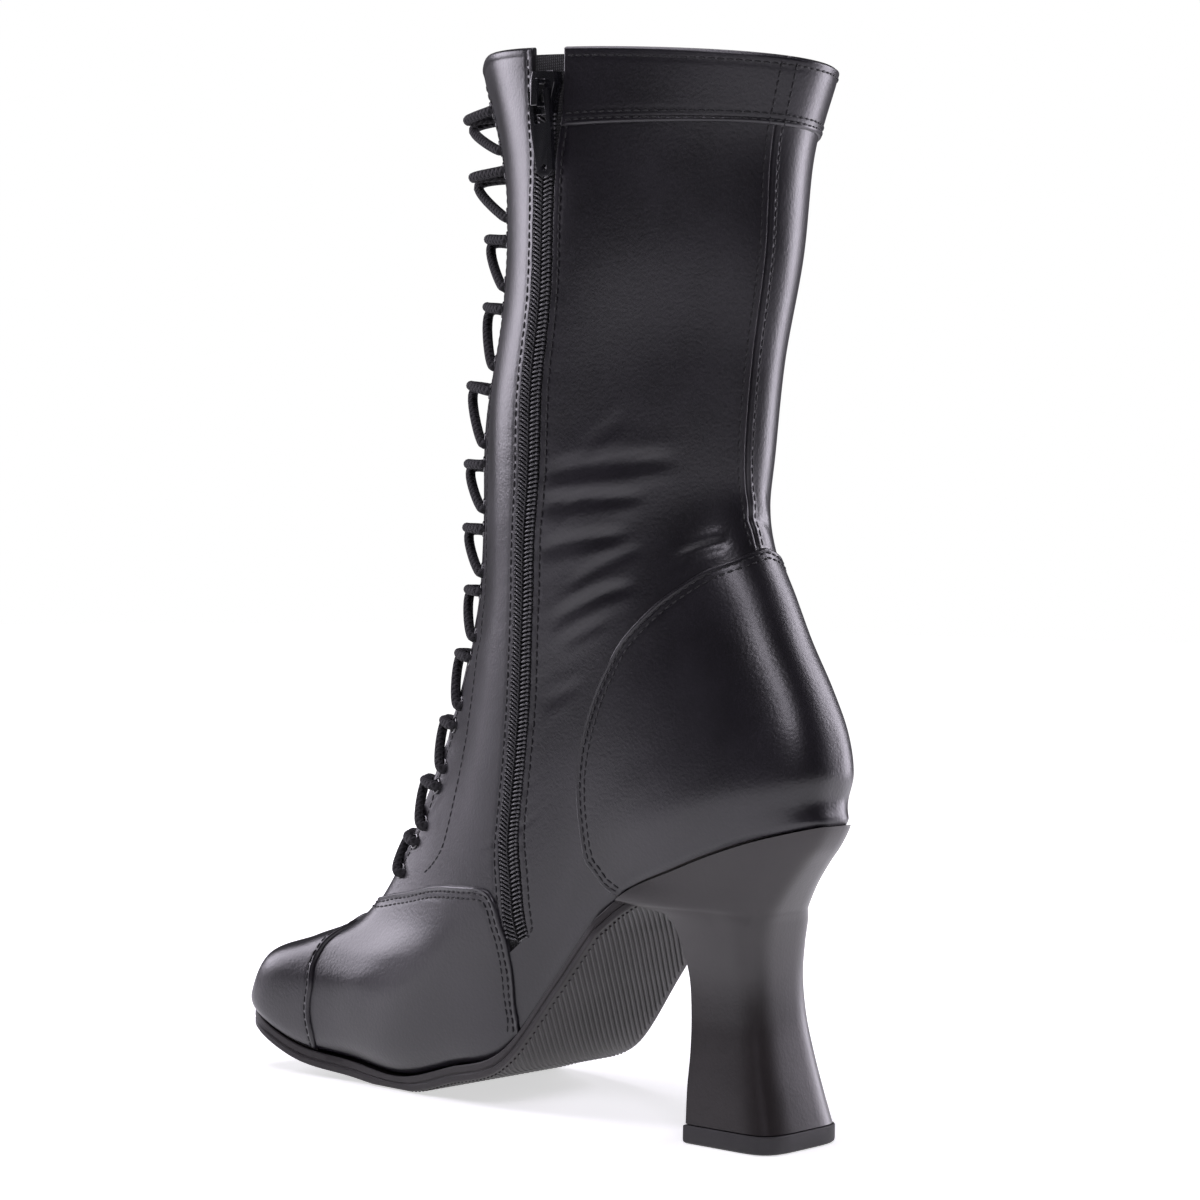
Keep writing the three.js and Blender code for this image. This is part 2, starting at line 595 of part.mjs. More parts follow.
// Zip: tape behind the window, coil in it
const tapeHigh = -skinDepth - wall - clearance - facetSag;
const tapeFoot = 2.1;
const tape = leather(rowsBetween(tapeFoot, topRow - 0.05), span(2, -1, 1),
  (row, v) => zipSide(row, (v * tapeWidth) / 2), tapeHigh - tapeThickness, tapeHigh);
const sliderRow = 12.55;
const sliderFoot = rowAtHeight(skin(...zipPlace(sliderRow)).z - sliderLength / 2 - 2 * clearance, zipPlace(sliderRow)[1]);
const coilLow = tapeHigh + clearance;
const coil = leather(span(18, zipFoot + 0.26, sliderFoot),[-0.5, -0.28, 0.28, 0.5],
  (row, v) => zipSide(row, v * coilWidth), coilLow, coilLow + coilHeight);

// Slider and pull tab, set on the zip with their own frame: x across, y up the zip, z out of the leather
function onZip(row, offset, lean = 0) {
  const out = outward(...zipPlace(row));
  const up = skin(...zipPlace(row + 0.1)).sub(skin(...zipPlace(row - 0.1))).normalize();
  const across = up.clone().cross(out).normalize();
  const frame = new THREE.Matrix4().makeBasis(across, up, out);
  frame.multiply(new THREE.Matrix4().makeRotationZ(THREE.MathUtils.degToRad(lean)));
  frame.setPosition(skin(...zipPlace(row), offset));
  return frame;
}
const plate = (outline, depth) => {
  const shape = new THREE.Shape(outline.map(([x, y]) => new THREE.Vector2(x, y)));
  return new THREE.ExtrudeGeometry(shape, { depth, bevelEnabled: false, curveSegments: 4 });
};
const block = (width, height, depth, x, y, z) => solid(bare(new THREE.BoxGeometry(width, height, depth)
  .translate(x, y, z)));
const sliderOutline = [[-0.36, -0.5], [0.36, -0.5], [0.38, -0.1], [0.5, 0.25], [0.42, 0.5], [-0.42, 0.5],
  [-0.5, 0.25], [-0.38, -0.1]].map(([x, y]) => [x * sliderWidth, y * sliderLength]);
const sliderDepth = sliderTop - coilLow;
const sliderBody = solid(bare(plate(sliderOutline, sliderDepth).translate(0, 0, coilLow)));
const bridgeTop = sliderTop + bridgeHeight;
const joined = 0.2;
const bridgeFoot = (side) => block(bridgeWidth, bridgeBar, bridgeHeight + joined,
  0, side * (bridgeLength - bridgeBar) / 2, sliderTop + (bridgeHeight - joined) / 2);
const bridge = block(bridgeWidth, bridgeLength, bridgeBar, 0, 0, bridgeTop - bridgeBar / 2)
  .add(bridgeFoot(1)).add(bridgeFoot(-1));
const slider = geometryOf(sliderBody.add(bridge));

// Pull tab: a pin through the bridge, two legs, a plate with a small hole, hanging straight down
const pinHeight = sliderTop + (bridgeHeight - bridgeBar) / 2;
const legWidth = 1.5;
const windowLength = 8.5;
const holeDiameter = 1.8;
const tabEnd = 1.2;
const legTop = tabThickness / 2;
const tabOutline = [
  [-0.5, legTop], [-0.5, -windowLength - 2 * tabEnd], [-0.4, tabEnd - tabLength], [-0.2, -tabLength],
  [0.2, -tabLength], [0.4, tabEnd - tabLength], [0.5, -windowLength - 2 * tabEnd], [0.5, legTop],
].map(([x, y]) => [x * tabWidth, y]);
const holeHalf = tabWidth / 2 - legWidth;
const tabPlate = solid(bare(plate(tabOutline, tabThickness).translate(0, 0, -tabThickness / 2)));
const tabWindow = block(2 * holeHalf, windowLength + 2 * legTop, 2 * tabThickness,
  0, legTop - windowLength / 2, 0);
const eyeHole = solid(bare(new THREE.CylinderGeometry(holeDiameter / 2, holeDiameter / 2, 3 * tabThickness, 10)
  .rotateX(Math.PI / 2).translate(0, 2 * tabEnd - tabLength, 0)));
const pin = solid(bare(new THREE.CylinderGeometry(pinDiameter / 2, pinDiameter / 2, tabWidth - legWidth / 2, 12)
  .rotateZ(Math.PI / 2)));
const pullTab = geometryOf(tabPlate.subtract(tabWindow).subtract(eyeHole).add(pin));

// Lace: each crossing is two cords over the throat, joined where they meet. Rows and rises are chosen by hand.
const crossings = [
  { row: 5.04, rise: 3.4 }, { row: 5.64, rise: 4.2 }, { row: 6.2, rise: 4.2 }, { row: 7.07, rise: 5.2 },
  { row: 7.86, rise: 5.4 }, { row: 8.7, rise: 5.2 }, { row: 9.44, rise: 5.2 }, { row: 10, rise: 5 },
  { row: 10.77, rise: 6 }, { row: 11.29, rise: 6 }, { row: 11.9, rise: 9 }, { row: 12.47, rise: 7.5 },
];
const laceSides = 6;
function cord(points) {
  const curve = new THREE.CatmullRomCurve3(points);
  const steps = 4;
  const frames = curve.computeFrenetFrames(steps, false);
  const rings = span(steps).map((share, i) => {
    const middle = curve.getPointAt(share);
    return span(laceSides).slice(0, -1).map((part) => {
      const angle = 2 * Math.PI * part;
      return middle.clone()
        .addScaledVector(frames.normals[i], Math.cos(angle) * laceDiameter / 2)
        .addScaledVector(frames.binormals[i], Math.sin(angle) * laceDiameter / 2);
    });
  });
  return solid(loft(rings));
}
function laceCrossing({ row, rise }, index) {
  const below = index > 0 ? (crossings[index - 1].row + row) / 2 : row - 0.26;
  const above = index + 1 < crossings.length ? (crossings[index + 1].row + row) / 2 : row + 0.24;
  const reach = throatHalf(row) + eyeletInset - laceDiameter;
  const low = (at, side) => laceDiameter / 2 + clearance / 4 + (side < 0 && at > cuffLow - 0.3 ? overlay : 0);
  const strand = (side) => cord([
    skin(...frontSide(below + 0.1, side * reach), low(row, side)),
    skin(...frontSide(below + 0.17, side * reach * 0.7), low(row, side) + rise * 0.45),
    skin(...frontSide(row, side * 0.01), rise),
    skin(...frontSide(above - 0.17, -side * reach * 0.7), low(row, -side) + rise * 0.45),
    skin(...frontSide(above - 0.1, -side * reach), low(row, -side)),
  ]);
  return geometryOf(strand(1).add(strand(-1)));
}

// The scene
const finish = {
  leather: { color: 0x1b191d, roughness: 0.38, metalness: 0 },
  lining: { color: 0x3a3432, roughness: 0.8, metalness: 0 },
  rubber: { color: 0x1c1b1c, roughness: 0.8, metalness: 0 },
  lace: { color: 0x15151a, roughness: 0.9, metalness: 0 },
  zip: { color: 0x2a2b2e, roughness: 0.4, metalness: 0.4 },
  metal: { color: 0x101114, roughness: 0.2, metalness: 0.8 },
};
const boot = new THREE.Group();
function add(name, geometry, look, frame) {
  const mesh = new THREE.Mesh(geometry, new THREE.MeshStandardMaterial(finish[look]));
  mesh.name = name;
  if (frame) mesh.applyMatrix4(frame);
  boot.add(mesh);
}
add('upper', upper, 'leather');
add('toe_cap', toeCap, 'leather');
add('vamp', vamp, 'leather');
add('counter', counter, 'leather');
add('cuff', cuff, 'leather');
add('tongue', tongue, 'leather');
add('insole', insole, 'lining');
add('outsole', outsole, 'rubber');
add('heel', heel, 'leather');
add('top_lift', topLift, 'rubber');
add('zip_tape', tape, 'lace');
add('zip_coil', coil, 'zip');
add('zip_slider', slider, 'metal', onZip(sliderRow, 0));
add('pull_tab', pullTab, 'metal', onZip(sliderRow, pinHeight, tabLean));
crossings.forEach((crossing, i) => add(`lace_cross_${String(i + 1).padStart(2, '0')}`,
  laceCrossing(crossing, i), 'lace'));

export default boot;
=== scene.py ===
import math

import bmesh
import bpy
import numpy as np
from mathutils import Matrix


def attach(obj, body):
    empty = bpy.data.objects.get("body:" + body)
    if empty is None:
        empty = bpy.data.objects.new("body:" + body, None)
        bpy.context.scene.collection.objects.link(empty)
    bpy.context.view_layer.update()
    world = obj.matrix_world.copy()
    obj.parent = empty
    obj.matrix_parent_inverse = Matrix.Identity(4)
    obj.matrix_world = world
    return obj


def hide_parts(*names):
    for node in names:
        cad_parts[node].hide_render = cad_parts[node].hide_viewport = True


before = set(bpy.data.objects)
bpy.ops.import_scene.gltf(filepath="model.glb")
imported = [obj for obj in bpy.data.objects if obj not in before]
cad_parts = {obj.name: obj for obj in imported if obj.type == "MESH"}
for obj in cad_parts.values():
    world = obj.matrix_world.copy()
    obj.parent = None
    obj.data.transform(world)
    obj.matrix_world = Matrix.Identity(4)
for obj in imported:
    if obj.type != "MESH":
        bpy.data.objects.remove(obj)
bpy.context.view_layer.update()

# A right lace-up boot. Lengths are millimetres here and metres in the meshes.
MM = 0.001

# Sizes of the last
stick_length = 218
seat_height = 90
toe_height = 19.3
boot_height = 307
ball_width = 74
ankle_width = 64
shaft_width = 87
sole_thickness = 5.5
tread_flat = 0.9
forefoot_height = sole_thickness - tread_flat
sole_overhang = 1.2
lift_thickness = 5.2
lift_length = 29
lift_width = 34
heel_waist_width = 26
wing_reach = 68
wing_thickness = 5
sole_under_heel = 23
clearance = 0.3

# Layers over (+) and under (-) the last's surface
quarter_top = -0.7
quarter_low = -2.4
vamp_top = 0.05
cap_top = 0.75
counter_top = 0.15
cuff_top = -0.05
tape_top = -1.9
tongue_top = -3.2
zip_foot = 2.36
throat_start = 4.72
throat_gap = 16
lace_diameter = 3
eyelet_inset = 5.5
corner_radius = 10
rib_pitch = 1.25
rib_height = 0.4
rib_step = 4.0
rib_trim = 0.4
rib_margin = 2.0
rib_way = np.array([0.565, -0.825])
rib_beside = np.array([0.825, 0.565])
tooth_pitch = 1.25
stitch_pitch = 2.5
eyelet_share = 0.17

# Rows of the last where pieces end, and the rise from row to row near them
cuff_low_row = 12.22
cuff_high_row = 12.985
tongue_rows = (4.2, 12.86)
tape_rows = (2.1, 12.93)
coil_top_row = 12.35
collar_rise = 28
cuff_rise = 30
tongue_rise = 26
throat_rise = 24
zip_rise = 18

# Distances from an edge or seam to the stitch rows beside it
vamp_stitches = (2.0, 3.8)
cap_stitches = (2.0,)
counter_stitches = (1.6, 3.2)
cuff_stitches = (1.7, 3.6)
collar_stitch = 2.4
throat_stitches = (2.6, 10.5)
zip_stitch_behind = 2.3
zip_stitch_before = 2.0
seam_stitch = 2.4

# The last as loops from the feather edge to the collar
columns = ["of", "back_x", "back_z", "front_x", "front_z", "heel", "waist", "ball", "toe", "heel_round",
           "toe_round", "arch"]
last_table = [
    [ball_width, -0.120, 0, 0.880, 0, 0.638, 0.742, 0.892, 0.747, 0.63, 0.63, 1],
    [ball_width, -0.112, 0.027, 0.888, 0.017, 0.767, 0.738, 1.006, 0.842, 0.67, 0.63, 0.92],
    [ball_width, -0.117, 0.066, 0.859, 0.058, 0.838, 0.782, 1.014, 0.850, 0.70, 0.66, 0.80],
    [ball_width, -0.106, 0.117, 0.781, 0.080, 0.840, 0.805, 0.977, 0.780, 0.74, 0.74, 0.64],
    [ball_width, -0.081, 0.172, 0.697, 0.108, 0.823, 0.808, 0.921, 0.694, 0.80, 0.85, 0.48],
    [ball_width, -0.047, 0.231, 0.636, 0.170, 0.808, 0.810, 0.865, 0.628, 0.84, 0.92, 0.34],
    [ball_width, -0.019, 0.288, 0.581, 0.267, 0.782, 0.811, 0.839, 0.590, 0.88, 1.07, 0.22],
    [ankle_width, 0.011, 0.347, 0.535, 0.356, 0.898, 0.969, 0.972, 0.719, 0.92, 1.17, 0.12],
    [ankle_width, 0.022, 0.403, 0.507, 0.441, 0.897, 1.000, 1.005, 0.752, 0.96, 1.27, 0.05],
    [ankle_width, 0.016, 0.470, 0.500, 0.523, 0.929, 1.063, 1.062, 0.789, 0.98, 1.33, 0],
    [shaft_width, 0.003, 0.589, 0.497, 0.628, 0.723, 0.853, 0.833, 0.606, 1.01, 1.33, 0],
    [shaft_width, -0.018, 0.716, 0.466, 0.755, 0.792, 0.924, 0.865, 0.613, 1.00, 1.35, 0],
    [shaft_width, -0.030, 0.849, 0.462, 0.879, 0.851, 0.967, 0.923, 0.668, 1.01, 1.36, 0],
    [shaft_width, -0.064, 0.956, 0.505, 0.999, 0.948, 1.003, 1.001, 0.760, 1.00, 1.29, 0],
]
top_row = len(last_table) - 1
share_of = {name: np.array([line[i] for line in last_table], float) for i, name in enumerate(columns)}
half_of = share_of["of"] / 2
last_rows = {
    "back_x": share_of["back_x"] * stick_length,
    "front_x": share_of["front_x"] * stick_length,
    "back_z": seat_height + share_of["back_z"] * (boot_height - seat_height),
    "front_z": toe_height + share_of["front_z"] * (boot_height - toe_height),
    "heel": share_of["heel"] * half_of,
    "waist": share_of["waist"] * half_of,
    "ball": share_of["ball"] * half_of,
    "toe": share_of["toe"] * half_of,
    "heel_round": share_of["heel_round"],
    "toe_round": share_of["toe_round"],
    "arch": share_of["arch"],
}
feather_line = [forefoot_height + share * (seat_height - forefoot_height)
                for share in (1, 0.930, 0.835, 0.711, 0.432, 0.152, 0.066, 0)]
feather_line += [forefoot_height + share * (toe_height - forefoot_height) for share in (0.14, 0.34, 1)]
centre_line = [share * ball_width for share in (0.055, -0.030, -0.153, -0.184, 0.115)]
width_stations = [0, 0.10, 0.40, 0.70, 0.92, 1]


def smooth_between(values, at):
    """Smooth value between whole stations."""
    values = np.asarray(values, float)
    long = np.concatenate([[2 * values[0] - values[1]], values, [2 * values[-1] - values[-2]]])
    i = np.clip(np.floor(at), 0, len(values) - 2).astype(int)
    f = np.reshape(at - i, np.shape(at) + (1,) * (values.ndim - 1))
    p0, p1, p2, p3 = long[i], long[i + 1], long[i + 2], long[i + 3]
    return 0.5 * (2 * p1 + (p2 - p0) * f + (2 * p0 - 5 * p1 + 4 * p2 - p3) * f ** 2
                  + (3 * p1 - p0 - 3 * p2 + p3) * f ** 3)


def through(stations, values, at):
    """Smooth curve through values at uneven stations."""
    x = np.asarray(stations, float)
    y = np.stack([np.broadcast_to(np.asarray(value, float), np.shape(at)) for value in values])
    last = len(x) - 1
    slopes = [(y[min(i + 1, last)] - y[max(i - 1, 0)]) / (x[min(i + 1, last)] - x[max(i - 1, 0)])
              for i in range(last + 1)]
    m = np.stack(slopes)
    at = np.clip(at, x[0], x[-1])
    i = np.clip(np.searchsorted(x, at, side="left") - 1, 0, last - 1)
    step = x[i + 1] - x[i]
    f = (at - x[i]) / step
    pick = lambda table, j: np.take_along_axis(table, j[None, ...], 0)[0]
    return ((2 * f ** 3 - 3 * f ** 2 + 1) * pick(y, i) + (f ** 3 - 2 * f ** 2 + f) * step * pick(m, i)
            + (3 * f ** 2 - 2 * f ** 3) * pick(y, i + 1) + (f ** 3 - f ** 2) * step * pick(m, i + 1))


def evenly(values, share):
    return through(np.linspace(0, 1, len(values)), values, share)


def last_point(row, turn):
    """Points on the last. Turn runs from the back (0) over the medial side to the front (1) and on to 2."""
    row, turn = np.broadcast_arrays(np.asarray(row, float), np.asarray(turn, float))
    angle = np.pi * turn
    share = (1 - np.cos(angle)) / 2
    value = {name: smooth_between(values, row) for name, values in last_rows.items()}
    arch_rise = evenly(feather_line, share) - (feather_line[0] + (feather_line[-1] - feather_line[0]) * share)
    half = through(width_stations, [value["heel"], value["heel"], value["waist"], value["ball"], value["toe"],
                                    value["toe"]], share)
    rounding = value["heel_round"] + (value["toe_round"] - value["heel_round"]) * share
    side = np.sin(angle)
    return np.stack([
        value["back_x"] + (value["front_x"] - value["back_x"]) * share,
        evenly(centre_line, share) * value["arch"] + half * np.sign(side) * np.abs(side) ** rounding,
        value["back_z"] + (value["front_z"] - value["back_z"]) * share + value["arch"] * arch_rise,
    ], -1)


def unit(vector):
    return vector / np.maximum(np.linalg.norm(vector, axis=-1, keepdims=True), 1e-12)


def upwards(row, turn):
    return (last_point(row + 0.01, turn) - last_point(row - 0.01, turn)) / 0.02


def around(row, turn):
    return (last_point(row, turn + 0.004) - last_point(row, turn - 0.004)) / 0.008


def outward(row, turn):
    return unit(np.cross(upwards(row, turn), around(row, turn)))


# Creases: where each starts and ends as row and turn, with its depth and half width in millimetres
creases = [
    (9.05, 0.49, 9.00, 0.25, 0.6, 3.2), (8.70, 0.50, 8.56, 0.31, 0.65, 2.8), (8.08, 0.50, 7.92, 0.34, 0.6, 3.0),
    (8.55, 0.47, 8.75, 0.40, 0.3, 1.4), (7.02, 0.475, 6.95, 0.33, 0.6, 2.6), (6.2, 0.49, 5.9, 0.435, 0.3, 2.4),
    (7.02, 0.235, 7.22, 0.12, 0.6, 2.2), (6.75, 0.45, 6.5, 0.38, 0.3, 2.0), (9.35, 0.42, 9.5, 0.34, 0.25, 2.4),
    (7.55, 0.44, 7.45, 0.31, 0.3, 2.6), (5.2, 0.93, 5.75, 0.76, 0.35, 4.0), (6.5, 0.93, 6.15, 0.72, 0.3, 4.5),
    (7.6, 0.9, 7.4, 0.68, 0.25, 4.5), (8.95, 1.50, 8.85, 1.72, 0.8, 3.4), (8.2, 1.46, 8.1, 1.70, 0.8, 3.2),
    (7.1, 1.45, 7.0, 1.68, 0.9, 3.6), (6.0, 1.38, 5.9, 1.56, 0.5, 4.0), (7.5, 0.06, 7.55, -0.06, 0.5, 3.2),
    (2.9, 1.25, 2.8, 1.45, 0.35, 4.5), (3.9, 1.2, 3.3, 1.4, 0.3, 4.0), (1.2, 1.28, 1.0, 1.46, 0.25, 4.0),
]
# Soft dents and swells: row, turn, height and radius in millimetres
dents = [
    (10.6, 0.30, -0.8, 26), (11.4, 0.42, 0.5, 20), (9.6, 0.22, 0.5, 18), (8.4, 0.38, 0.7, 12),
    (5.6, 0.24, -0.5, 16), (7.6, 0.40, 0.6, 10), (6.4, 0.47, -0.6, 12), (3.4, 0.44, -0.5, 14),
    (10.4, 1.6, -0.7, 26), (8.5, 1.62, 0.7, 12), (5.4, 1.66, -0.6, 16), (11.6, 1.75, 0.6, 18),
    (9.8, 0.72, -0.3, 14), (7.2, 0.74, 0.3, 12), (2.1, 0.63, 0.35, 14), (2.3, 0.70, 0.3, 7),
    (1.6, 0.69, 0.25, 7), (2.6, 0.66, -0.2, 8),
]


def relief(row, turn):
    """Height of creases and dents over the smooth last, in millimetres."""
    height = np.zeros(np.shape(row))
    for row_a, turn_a, row_b, turn_b, depth, width in creases:
        middle = np.array([(row_a + row_b) / 2]), np.array([(turn_a + turn_b) / 2])
        per_row = np.linalg.norm(upwards(*middle))
        per_turn = np.linalg.norm(around(*middle))
        u = (row - row_a) * per_row
        v = ((turn - turn_a + 1) % 2 - 1) * per_turn
        along = np.array([(row_b - row_a) * per_row, (turn_b - turn_a) * per_turn])
        length = np.hypot(*along)
        along /= length
        s = u * along[0] + v * along[1]
        d = -u * along[1] + v * along[0]
        d = d + 0.9 * width * np.sin(2.4 * s / length + depth * 7) * 0.6
        past = np.maximum(np.abs(s / length - 0.5) - 0.32, 0) * length
        fade = np.exp(-(past / (0.16 * length)) ** 2)
        trough = np.exp(-(d / (0.62 * width)) ** 2)
        ridge = sum(np.exp(-((d + side * 1.35 * width) / (0.8 * width)) ** 2) for side in (-1, 1))
        height += fade * depth * (0.42 * ridge - trough)
    for row_a, turn_a, rise, radius in dents:
        here = np.array([row_a]), np.array([turn_a])
        u = (row - row_a) * np.linalg.norm(upwards(*here))
        v = ((turn - turn_a + 1) % 2 - 1) * np.linalg.norm(around(*here))
        height += rise * np.exp(-(u * u + v * v) / radius ** 2)
    return height


def skin(row, turn, offset=0.0):
    row, turn = np.broadcast_arrays(np.asarray(row, float), np.asarray(turn, float))
    return last_point(row, turn) + outward(row, turn) * (offset + relief(row, turn))[..., None]


# Lines on the last
zip_rows = [2.4, 4.5, 5.2, 7.6, 8.3, 9.4, 10.4, 11.6, 12.8, 13.6]
zip_turns = [0.484, 0.536, 0.541, 0.545, 0.544, 0.525, 0.519, 0.519, 0.497, 0.490]
seam_rows = [6.9, 7.9, 9.14, 11.03, 13]
seam_turns = [0.022, 0.036, 0.066, 0.068, 0.080]


def zip_turn(row, millimetres=0.0):
    """Turn beside the zip's middle line, positive towards the front."""
    turn = through(zip_rows, zip_turns, row)
    return turn + millimetres / np.linalg.norm(around(row, turn), axis=-1)


def seam_turn(row, millimetres=0.0):
    """Turn beside the back seam."""
    turn = through(seam_rows, seam_turns, row)
    return turn + millimetres / np.linalg.norm(around(row, turn), axis=-1)


def front_turn(row, millimetres):
    """Turn beside the front centre, by the distance across the boot, positive on the medial side."""
    row, millimetres = np.broadcast_arrays(np.asarray(row, float), np.asarray(millimetres, float))
    centre = last_point(row, np.ones_like(row))[..., 1]
    low, high = np.zeros_like(row), np.full_like(row, 0.5)
    for _ in range(24):
        middle = (low + high) / 2
        near = np.abs(last_point(row, 1 - middle)[..., 1] - centre) < np.abs(millimetres)
        low, high = np.where(near, middle, low), np.where(near, high, middle)
    return 1 - np.sign(millimetres) * low


def smooth_step(x, low, high):
    t = np.clip((x - low) / (high - low), 0, 1)
    return t * t * (3 - 2 * t)


def throat_half(row):
    rise = np.clip((row - throat_start) / 0.45, 0, 1)
    rounded = np.sqrt(np.maximum(1 - (1 - rise) ** 2, 0.004))
    return throat_gap / 2 * rounded * (0.8 + 0.45 * smooth_step(row, throat_start, top_row))


def window_half(row):
    """Half width of the zip's window, which opens out at the mouth."""
    return 4.3 + 1.4 * smooth_step(row, 11.9, 12.4)


# Meshes
def put(name, mesh, body, nodes=()):
    """A finished piece on its body, with the nodes it stands for hidden."""
    piece = bpy.data.objects.new(name, mesh)
    bpy.context.scene.collection.objects.link(piece)
    finish_piece(piece, body, nodes)
    return piece


def finish_piece(piece, body, nodes=()):
    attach(piece, body)
    if nodes:
        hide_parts(*nodes)


def smoothed(mesh, sharp):
    """Smooth faces, with sharp edges where they meet at more than this angle in degrees."""
    mesh.polygons.foreach_set("use_smooth", np.ones(len(mesh.polygons), bool))
    mesh.set_sharp_from_angle(angle=math.radians(sharp))
    mesh.update()
    return mesh


def closed_up(mesh, sharp):
    """The mesh with its doubles merged and its faces turned outwards."""
    work = bmesh.new()
    work.from_mesh(mesh)
    bmesh.ops.remove_doubles(work, verts=work.verts, dist=1e-7)
    bmesh.ops.recalc_face_normals(work, faces=work.faces)
    work.to_mesh(mesh)
    work.free()
    return smoothed(mesh, sharp)


def mesh_of(name, points, faces, looks, marks=None, sharp=40):
    """A smooth mesh from millimetre points, without the points that no face uses."""
    used = np.unique(np.concatenate([group.ravel() for group in faces]))
    lookup = np.full(len(points), -1)
    lookup[used] = np.arange(len(used))
    mesh = bpy.data.meshes.new(name)
    polygons = [face for group in faces for face in lookup[group].tolist()]
    mesh.from_pydata((np.asarray(points)[used] * MM).tolist(), [], polygons)
    for look in looks:
        mesh.materials.append(look)
    if marks is not None:
        mesh.polygons.foreach_set("material_index", np.concatenate(
            [np.full(len(group), mark, np.int32) for group, mark in zip(faces, marks)]))
    return closed_up(mesh, sharp)


def band_faces(count, levels):
    """Faces between rings of points that follow one another."""
    i = np.arange(count)
    j = (i + 1) % count
    return [np.stack([k * count + i, k * count + j, (k + 1) * count + j, (k + 1) * count + i], -1)
            for k in range(levels - 1)]


def shell(name, outer, inner, looks, keep=None, ring=False):
    """A wall between two grids of points. Cells that keep leaves out are open, with edges round them."""
    n, m = outer.shape[:2]
    cells = m if ring else m - 1
    keep = np.ones((n - 1, cells), bool) if keep is None else keep
    size = n * m
    index = np.arange(size).reshape(n, m)
    following = np.roll(index, -1, axis=1)
    a, b = index[:-1, :cells], following[:-1, :cells]
    c, d = following[1:, :cells], index[1:, :cells]
    front = np.stack([a, b, c, d], -1)[keep]
    back = np.stack([a, d, c, b], -1)[keep] + size
    none = np.zeros_like(keep)
    below, above, left, right = none.copy(), none.copy(), none.copy(), none.copy()
    below[1:], above[:-1] = keep[:-1], keep[1:]
    if ring:
        left, right = np.roll(keep, 1, axis=1), np.roll(keep, -1, axis=1)
    else:
        left[:, 1:], right[:, :-1] = keep[:, :-1], keep[:, 1:]
    walls = []
    for p, q, beside in ((a, b, below), (b, c, right), (c, d, above), (d, a, left)):
        walls.append(np.stack([q, p, p + size, q + size], -1)[keep & ~beside])
    points = np.concatenate([outer.reshape(-1, 3), inner.reshape(-1, 3)])
    return mesh_of(name, points, [front, back, np.concatenate(walls)], looks, [0, 1, 2])


near_edge = np.array([0, 0.1, 0.24, 0.42, 0.65, 0.95, 1.3, 1.7, 2.1, 2.6, 3.3, 4.3])


def spread(count, length, near=True):
    """Shares from 0 to 1 that crowd near the far end or both, by real distances on a line of this length."""
    lead = near_edge / length if near else np.array([0.0])
    tail = 1 - near_edge[::-1] / length
    middle = np.linspace(lead[-1], tail[0], count + 2)[1:-1]
    return np.concatenate([lead, middle, tail])


def run_length(points, axis):
    """Distance along the grid lines from their start."""
    step = np.linalg.norm(np.diff(points, axis=axis), axis=-1)
    shape = list(step.shape)
    shape[axis] = 1
    return np.concatenate([np.zeros(shape), np.cumsum(step, axis=axis)], axis=axis)


def rolled(distance, drop, radius):
    """How far a rounded edge falls, at a distance from it."""
    x = np.clip(1 - distance / radius, 0, 1)
    return -drop * (1 - np.sqrt(1 - x * x))


def bump_at(distance, place, width):
    return np.exp(-((distance - place) / width) ** 2)


def tucked(row):
    """How far the leather draws in towards the feather edge."""
    return 5.0 * np.maximum(0.35 - row, 0) ** 1.6


# Node helpers, and node groups for effects that several materials share
def new_tree(name, kind, inputs, outputs):
    """A node tree with its named sockets. An input has a kind and a value, and an output has a kind."""
    tree = bpy.data.node_groups.new(name, kind)
    for label, socket_kind, value in inputs:
        socket = tree.interface.new_socket(name=label, in_out="INPUT", socket_type="NodeSocket" + socket_kind)
        if value is not None:
            socket.default_value = value
    for label, socket_kind in outputs:
        tree.interface.new_socket(name=label, in_out="OUTPUT", socket_type="NodeSocket" + socket_kind)
    return tree, tree.nodes.new("NodeGroupInput"), tree.nodes.new("NodeGroupOutput")


def node(tree, kind, values=None, **settings):
    """A node with its settings and, for each input, a value or the output that feeds it."""
    made = tree.nodes.new(kind)
    for name, value in settings.items():
        setattr(made, name, value)
    for name, value in (values or {}).items():
        if isinstance(value, bpy.types.NodeSocket):
            tree.links.new(value, made.inputs[name])
        else:
            made.inputs[name].default_value = value
    return made


def math_node(tree, operation, a, b, clamp=False):
    return node(tree, "ShaderNodeMath", {0: a, 1: b}, operation=operation, use_clamp=clamp).outputs[0]


def noise(tree, place, scale, detail, roughness=0.5):
    values = {"Vector": place, "Scale": scale, "Detail": detail, "Roughness": roughness}
    return node(tree, "ShaderNodeTexNoise", values).outputs


def ramp(tree, value, stops):
    made = node(tree, "ShaderNodeValToRGB", {"Fac": value})
    for element, (place, tone) in zip(made.color_ramp.elements, stops):
        element.position = place
        element.color = (tone, tone, tone, 1)
    return made.outputs["Color"]


